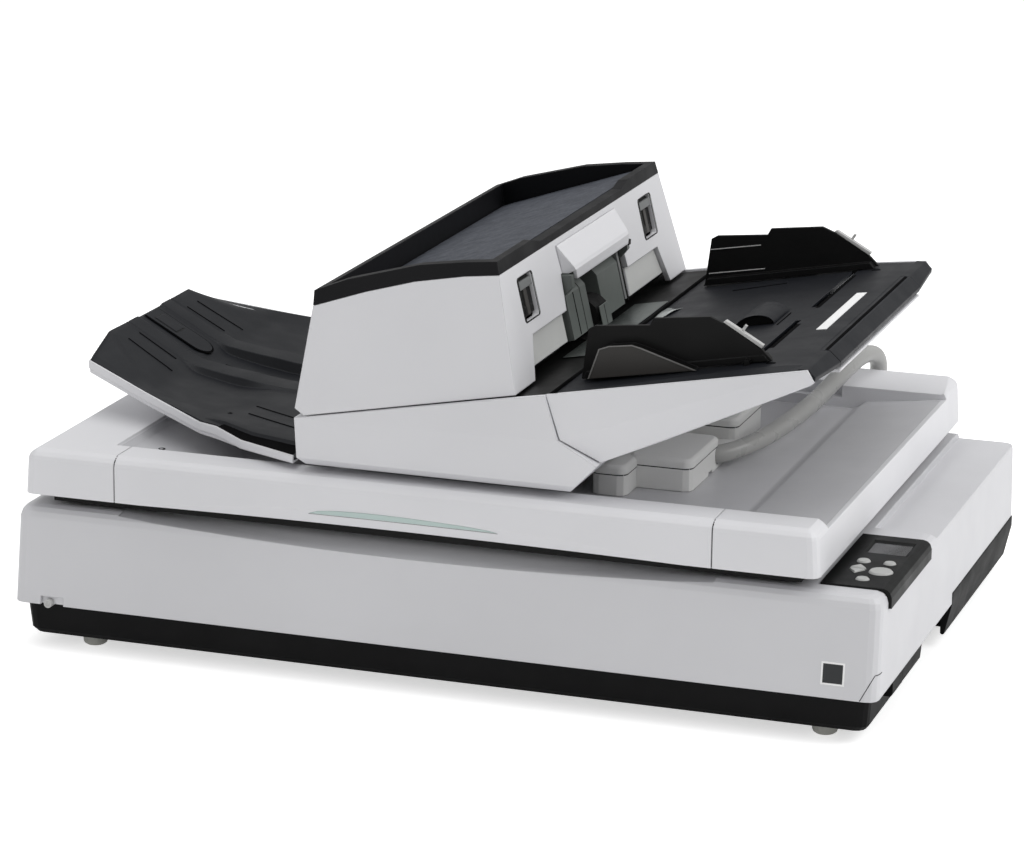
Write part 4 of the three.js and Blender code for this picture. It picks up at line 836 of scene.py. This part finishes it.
# (name, start, end, width) of the dark lines in the hopper's tray
HOPPER_LINES = (
    ("hopper_line_thin", (214, -34), (214, 9.5), 0.9), ("hopper_line_rear", (131, 133), (176, 141), 1.6),
    ("hopper_line_front", (131, -133), (176, -141), 1.6),
    ("hopper_mark_rear", (244, 161), (251, 161), 2.2), ("hopper_mark_front", (244, -177), (251, -177), 2.2))
# dark margin beside the slots in which the side guides run
SLOT_MARGIN_X = 233.2
SLOT_MARGINS = (("rear", 20, 143), ("front", -122, -39))


def hopper_lines():
    for name, start, end, width in HOPPER_LINES:
        rib(name, start, end, tray_height, "hopper", GROOVE_AND_SHADE_BLACK, width=width)
    for name, y0, y1 in SLOT_MARGINS:
        rib(f"hopper_slot_{name}", (SLOT_MARGIN_X, y0), (SLOT_MARGIN_X, y1), tray_height, "hopper",
            GROOVE_AND_SHADE_BLACK, width=3.4, lift=0.15)


# (x, z) outlines of a corner piece beside the extension and at the hopper's side
CORNER_INNER = [(274.4, 276), (282.5, 276.2), (291.5, 268.2), (291, 264.5), (286, 262.6), (274.4, 262.3)]
CORNER_OUTER = [(273.6, 275.7), (281.8, 275.8), (287.4, 270.2), (287, 266.8), (284, 265), (273.6, 265.4)]
FRONT_LIP = [(283, 262), (290.9, 261.9), (291.4, 260.6), (290.4, 259.4), (283, 259)]
PULL_GROOVE = [(278.4, 276.0), (280.9, 276.1), (280.9, 276.55), (278.4, 276.45)]


def nose_filler():
    """Corner pieces that carry the end face of the sliding extension out to the hopper's sides."""
    for side, sign in (("rear", 1), ("front", -1)):
        loops = [[(x, sign * 134.7, z) for x, z in CORNER_INNER],
                 [(x, sign * 197, z) for x, z in CORNER_OUTER]]
        loft(f"hopper_corner_{side}", loops, TRAY, "hopper", 0.7)
    prism("hopper_front_lip", [(x, -134, z) for x, z in FRONT_LIP], (0, 268, 0), WHITE, "hopper",
          0.4)
    prism("pull_groove", [(x, -132, z) for x, z in PULL_GROOVE], (0, 264, 0), GROOVE_AND_SHADE_BLACK,
          "hopper_extension", 0)


# (x, y) outline of the metal sheet, notched round the separator roller
MOUTH_OUTLINE = [(85.4, -98), (85.4, 97), (56, 97), (56, 10), (62.6, 10), (62.6, -34), (56, -34), (56, -98)]
MOUTH_SHEET = {"x": 61.5, "z": 241.85, "slope": 0.18, "thick": 0.5}


def mouth_sheet():
    """Bright metal sheet under the pick roller, and the curled film beyond it."""
    low = MOUTH_SHEET
    points = [(x, y, low["z"] + low["slope"] * (x - low["x"])) for x, y in MOUTH_OUTLINE]
    prism("mouth_sheet", points, (0, 0, low["thick"]), SHEET, "feeder", 0.15)
    rows = []
    for i in range(9):
        y = 44 + 5.2 * i
        curl = 2.2 * math.sin(math.pi * i / 8) ** 2
        rows.append([(88.2, y, tray_height(88.2) + 0.3 + curl * 0.4),
                     (93 + 0.8 * i, y, tray_height(93) + 0.5 + curl),
                     (96 + 0.9 * i, y, tray_height(96) + 1.2 + curl * 0.6)])
    sheet("guide_film", rows, 0.3, FILM, "hopper")


# (x, z) outlines on the side guides; RIBS holds x and z of both ends
TAB = [(208.2, 301.0), (210.4, 302.6), (240.6, 285.6), (239, 283.0)]
TAB_PIN = [(221.8, 295), (223.8, 293.9), (227.2, 299.4), (225.4, 300.4)]
FOOT = [(103.9, 249.0), (190.8, 263.9), (146.6, 277.6), (139, 279.3), (120.5, 276.8), (112.3, 273.6)]
FOOT_RIM = FOOT[1:] + FOOT[:1]
FOOT_INSET = [(105.2, 249.4), (113.2, 272.9), (121, 275.9), (139, 278.3), (146.2, 276.6), (188, 263.6)]
RIBS = ((100.8, 276.3, 144.7, 283.8), (99.5, 255.2, 148.8, 263.7))


def guide_details():
    for side, sign, body in (("front", -1, "side_guide_front"), ("rear", 1, "side_guide_rear")):
        wall = sign * GUIDE_Y
        prism(f"guide_tab_{side}", [(x, wall - 2.4, z) for x, z in TAB], (0, 4.8, 0), TAB_AND_GLINT_GREY,
              body, 0.5)
        prism(f"guide_tab_pin_{side}", [(x, wall - 1.1, z) for x, z in TAB_PIN], (0, 2.2, 0),
              TAB_AND_GLINT_GREY, body, 0.3)
        near, far = wall + sign * 10.2, wall + sign * 11.5
        prism(f"guide_foot_{side}", [(x, near, z - 0.4) for x, z in FOOT], (0, far - near, 0),
              GUIDE_FOOT, body, 0.7)
        # Lighter grey rim round the foot: painted highlight on its edge.
        prism(f"guide_foot_highlight_{side}", [(x, far, z - 0.2) for x, z in FOOT_RIM + FOOT_INSET],
              (0, sign * 0.35, 0), EDGE_HIGHLIGHT_GREY, body, 0)
        inner = wall - sign * 1.6
        # Light grey lines on the guide's inner face: painted glints along its ribs.
        for number, (xa, za, xb, zb) in enumerate(RIBS, 1):
            line = [(xa, inner, za), (xb, inner, zb), (xb, inner, zb + 0.8), (xa, inner, za + 0.8)]
            prism(f"guide_rib_glint_{side}_{number}", line, (0, -sign * 0.5, 0), TAB_AND_GLINT_GREY, body,
                  0)


# ------------------------------------------------------------------ feeder details
FACE_X, FACE_TOP, FACE_SLOPE = 38, 342, 0.24


def face_x(z):
    """x of the feeder's leaning front at height z."""
    return FACE_X + (FACE_TOP - z) * FACE_SLOPE


def on_face(offset):
    """Placing function for points drawn flat on the feeder's front: sideways, up, and out by offset."""
    def at(point):
        y, z, out = point
        return place(face_x(z) + offset + out, y, z)
    return at


def face_plate(name, outline, thick, offset, finish, body, bevel=0.2):
    """Flat plate on the feeder's front, outline in (y, z), its outer face at offset."""
    loops = [[(y, z, out) for y, z in outline] for out in (0, -thick)]
    return loft(name, loops, finish, body, bevel, at=on_face(offset))


def rectangle(y0, y1, z0, z1):
    return [(y0, z0), (y1, z0), (y1, z1), (y0, z1)]


def face_ring(name, outer, inner, thick, offset, finish, body):
    """Flat frame on the feeder's front, between two outlines of equal length."""
    n = len(outer)
    loops = [[(y, z, 0) for y, z in outer], [(y, z, 0) for y, z in inner],
             [(y, z, -thick) for y, z in inner], [(y, z, -thick) for y, z in outer]]
    vertices = [point for loop in loops for point in loop]
    faces = [(a * n + i, a * n + (i + 1) % n, (a + 1) % 4 * n + (i + 1) % n, (a + 1) % 4 * n + i)
             for a in range(4) for i in range(n)]
    return add_piece(name, vertices, faces, finish, body, 0.15, at=on_face(offset))


LATCH_Y = 159
# (offset of the middle, half width, top, depth, finish) of the strips on a latch lever
LATCH_STRIPS = ((-9.2, 5.6, 308.8, -3.0, BLACK), (0.4, 3.4, 309.6, -2.2, GUIDE_FOOT),
                (9.4, 5.0, 308.8, -3.0, BLACK))


def latch_details():
    """Dark ring round each latch window that paints the shade inside it, a grey strip that paints the shade
    on its white side wall, a grey cap and a ribbed lever.
    """
    for side, sign in (("front", -1), ("rear", 1)):
        y, cover, lever = sign * LATCH_Y, "feeder_cover", f"latch_lever_{side}"
        outer = [(u, v) for u, v, _ in rounded_outline(y - 18.4, y + 18.4, 286.2, 321.2, 3.4, 0)]
        inner = [(u, v) for u, v, _ in rounded_outline(y - 15.2, y + 15.2, 286.8, 320.6, 2.6, 0)]
        # Dark ring: painted shade of the window's inside.
        face_ring(f"latch_frame_{side}", outer, inner, 1.0, 0.2, BLACK, cover)
        # Grey strip: painted shade on the window's white side wall.
        wall = [(y + 15.4, 288.4), (y + 17.6, 289.2), (y + 17.6, 317.4), (y + 15.4, 318.2)]
        face_plate(f"latch_wall_shade_{side}", wall, 0.4, 0.4, FRAME_AND_WALL_SHADE_GREY, cover)
        cap = rectangle(y - 15, y + 15, 310.6, 317.2)
        face_plate(f"latch_cap_{side}", cap, 2.4, -0.5, FRAME_AND_WALL_SHADE_GREY, cover, 0.6)
        for number, (middle, half, top, depth, finish) in enumerate(LATCH_STRIPS, 1):
            strip = rectangle(y + middle - half, y + middle + half, 289.6, top)
            face_plate(f"latch_rib_{side}_{number}", strip, 1.4, depth, finish, lever,
                       0.4)


# (name, y0, y1, z0, z1, finish, offset) of the strips between the pick plates
PICK_STRIPS = (("left", -60.6, -59.8, 252, 286, BLACK, 0.2), ("post", 60.2, 64.5, 254, 300, FRAME_AND_WALL_SHADE_GREY, 0.0),
               ("rail", 66.6, 68.4, 252, 292, BLACK, 0.0))
NIP_PLATE = [(-26.5, 250.5), (-2, 250.5), (-2, 264), (-6, 267.5), (-26.5, 267.5)]


def pick_details():
    cover, dark = "feeder_cover", "black_plastic"
    block("pick_cavity_back", (36.1, -27.7, 269), (36.8, 3.7, 311), BLACK, cover, 0)
    for name, y0, y1, z0, z1, finish, out in PICK_STRIPS:
        face_plate(f"pick_strip_{name}", rectangle(y0, y1, z0, z1), 6, out, finish, cover)
    face_plate("pick_nip_plate", NIP_PLATE, 0.7, 7.6, PLATE, cover, 0.2)
    face_plate("pick_nip_seam", rectangle(-15.2, -14.4, 250.8, 267.2), 0.3, 7.8, BLACK, cover, 0)
    block("hood_stop_rear", (52, 72.5, 297), (57.4, 78.5, 301.6), BLACK, cover, 0.6)
    block("seam_catch", (-119.6, -222, 208.2), (-116.6, -210, 211.6), BLACK, "feeder", 0.5)


MOUTH_LOW, MOUTH_HIGH, MOUTH_INNER = 251.4, 274.6, 84.6


def mouth_half(z):
    """Half width of the feeder's mouth at height z, less the gap of the facing."""
    return 166.6 + (275 - z) * 0.49


def mouth_skins():
    """Light grey skins on the two panels beside the pick mechanism: a grey that paints their shade on the
    white plastic.
    """
    for side, sign in (("front", -1), ("rear", 1)):
        outline = [(sign * MOUTH_INNER, MOUTH_LOW), (sign * mouth_half(MOUTH_LOW), MOUTH_LOW),
                   (sign * mouth_half(MOUTH_HIGH), MOUTH_HIGH), (sign * MOUTH_INNER, MOUTH_HIGH)]
        face_plate(f"mouth_skin_{side}", outline, 0.35, -4.1, MOUTH_SHADE_GREY, "feeder_cover",
                   0.1)


lid_well_shade_skin()
lid_screws()
grip_strip()
blank_label()
lid_seams()
corner_flap()
pan_sides()
lock_knob()
carriage_caps()
cable_jacket()
stacker_surface()
tongue()
stacker_details()
size_strip()
thumb_vault()
hopper_lines()
nose_filler()
mouth_sheet()
mouth_skins()
guide_details()
latch_details()
pick_details()


# ------------------------------------------------------------------ camera, light and floor
CAMERA = {"azimuth": 18.7, "elevation": 15.27, "roll": 0.6, "target": (-20.88, 0, 152.63),
          "distance": 3.1837, "lens": 134.78, "shift": (0.00198, -0.0004)}


def add_camera():
    azimuth, elevation, roll = (math.radians(CAMERA[key]) for key in ("azimuth", "elevation", "roll"))
    back = Vector((math.sin(azimuth) * math.cos(elevation), -math.cos(azimuth) * math.cos(elevation),
                   math.sin(elevation)))
    level = Vector((math.cos(azimuth), math.sin(azimuth), 0))
    above = back.cross(level)
    right = level * math.cos(roll) + above * math.sin(roll)
    up = above * math.cos(roll) - level * math.sin(roll)
    camera = bpy.data.cameras.new("camera")
    camera.sensor_width = 36
    camera.lens = CAMERA["lens"]
    camera.shift_x, camera.shift_y = CAMERA["shift"]
    camera.clip_end = 50
    obj = bpy.data.objects.new("camera", camera)
    where = place(*CAMERA["target"]) + back * CAMERA["distance"]
    obj.matrix_world = Matrix((
        (right.x, up.x, back.x, where.x), (right.y, up.y, back.y, where.y),
        (right.z, up.z, back.z, where.z), (0, 0, 0, 1)))
    bpy.context.scene.collection.objects.link(obj)
    bpy.context.scene.camera = obj


def add_light(name, where, size, power):
    light = bpy.data.lights.new(name, "AREA")
    light.shape = "RECTANGLE"
    light.size, light.size_y = size
    light.energy = power
    obj = bpy.data.objects.new(name, light)
    obj.location = where
    obj.rotation_mode = "QUATERNION"
    obj.rotation_quaternion = (Vector(AIM) - Vector(where)).to_track_quat("-Z", "Y")
    bpy.context.scene.collection.objects.link(obj)


FLOOR_HALF = 30.0
FLOOR_GLOW = {"as light": 0.14, "as seen": 0.6}
WORLD_STRENGTH = 0.45
AIM = (0, 0, 0.2)
# (name, place in metres, size in metres, power in watts), all turned to AIM
LIGHTS = (("key_light", (2.3, 0.1, 2.0), (2.0, 1.8), 35), ("top_light", (-0.3, 0.2, 2.8), (3.0, 2.2), 30),
          ("fill_light", (-1.8, -2.6, 1.6), (2.4, 1.6), 6))


def add_floor():
    """Plain pale floor, shown to the camera a little brighter than it lights the object."""
    s = FLOOR_HALF
    mesh = bpy.data.meshes.new("floor")
    mesh.from_pydata([(-s, -s, 0), (s, -s, 0), (s, s, 0), (-s, s, 0)], [], [(0, 1, 2, 3)])
    floor = bpy.data.objects.new("floor", mesh)
    n = Nodes("floor_paint")
    paint = n.mix(n.span(n.noise(3, 4), 0, 1), (0.93, 0.93, 0.93, 1), (0.9, 0.9, 0.9, 1))
    n.join(paint, n.surface.inputs["Base Color"])
    n.join(n.span(n.noise(8, 3), 0.75, 0.9), n.surface.inputs["Roughness"])
    n.surface.inputs["Emission Color"].default_value = (1, 1, 1, 1)
    seen = n.add("ShaderNodeLightPath").outputs["Is Camera Ray"]
    glow = n.span(seen, FLOOR_GLOW["as light"], FLOOR_GLOW["as seen"], 0, 1)
    n.join(glow, n.surface.inputs["Emission Strength"])
    mesh.materials.append(n.material)
    bpy.context.scene.collection.objects.link(floor)


def add_studio():
    world = bpy.data.worlds.new("studio")
    world.use_nodes = True
    background = world.node_tree.nodes["Background"]
    background.inputs["Color"].default_value = (1, 1, 1, 1)
    background.inputs["Strength"].default_value = WORLD_STRENGTH
    bpy.context.scene.world = world
    for name, where, size, power in LIGHTS:
        add_light(name, where, size, power)
    bpy.context.scene.view_settings.view_transform = "Standard"


add_camera()
add_floor()
add_studio()
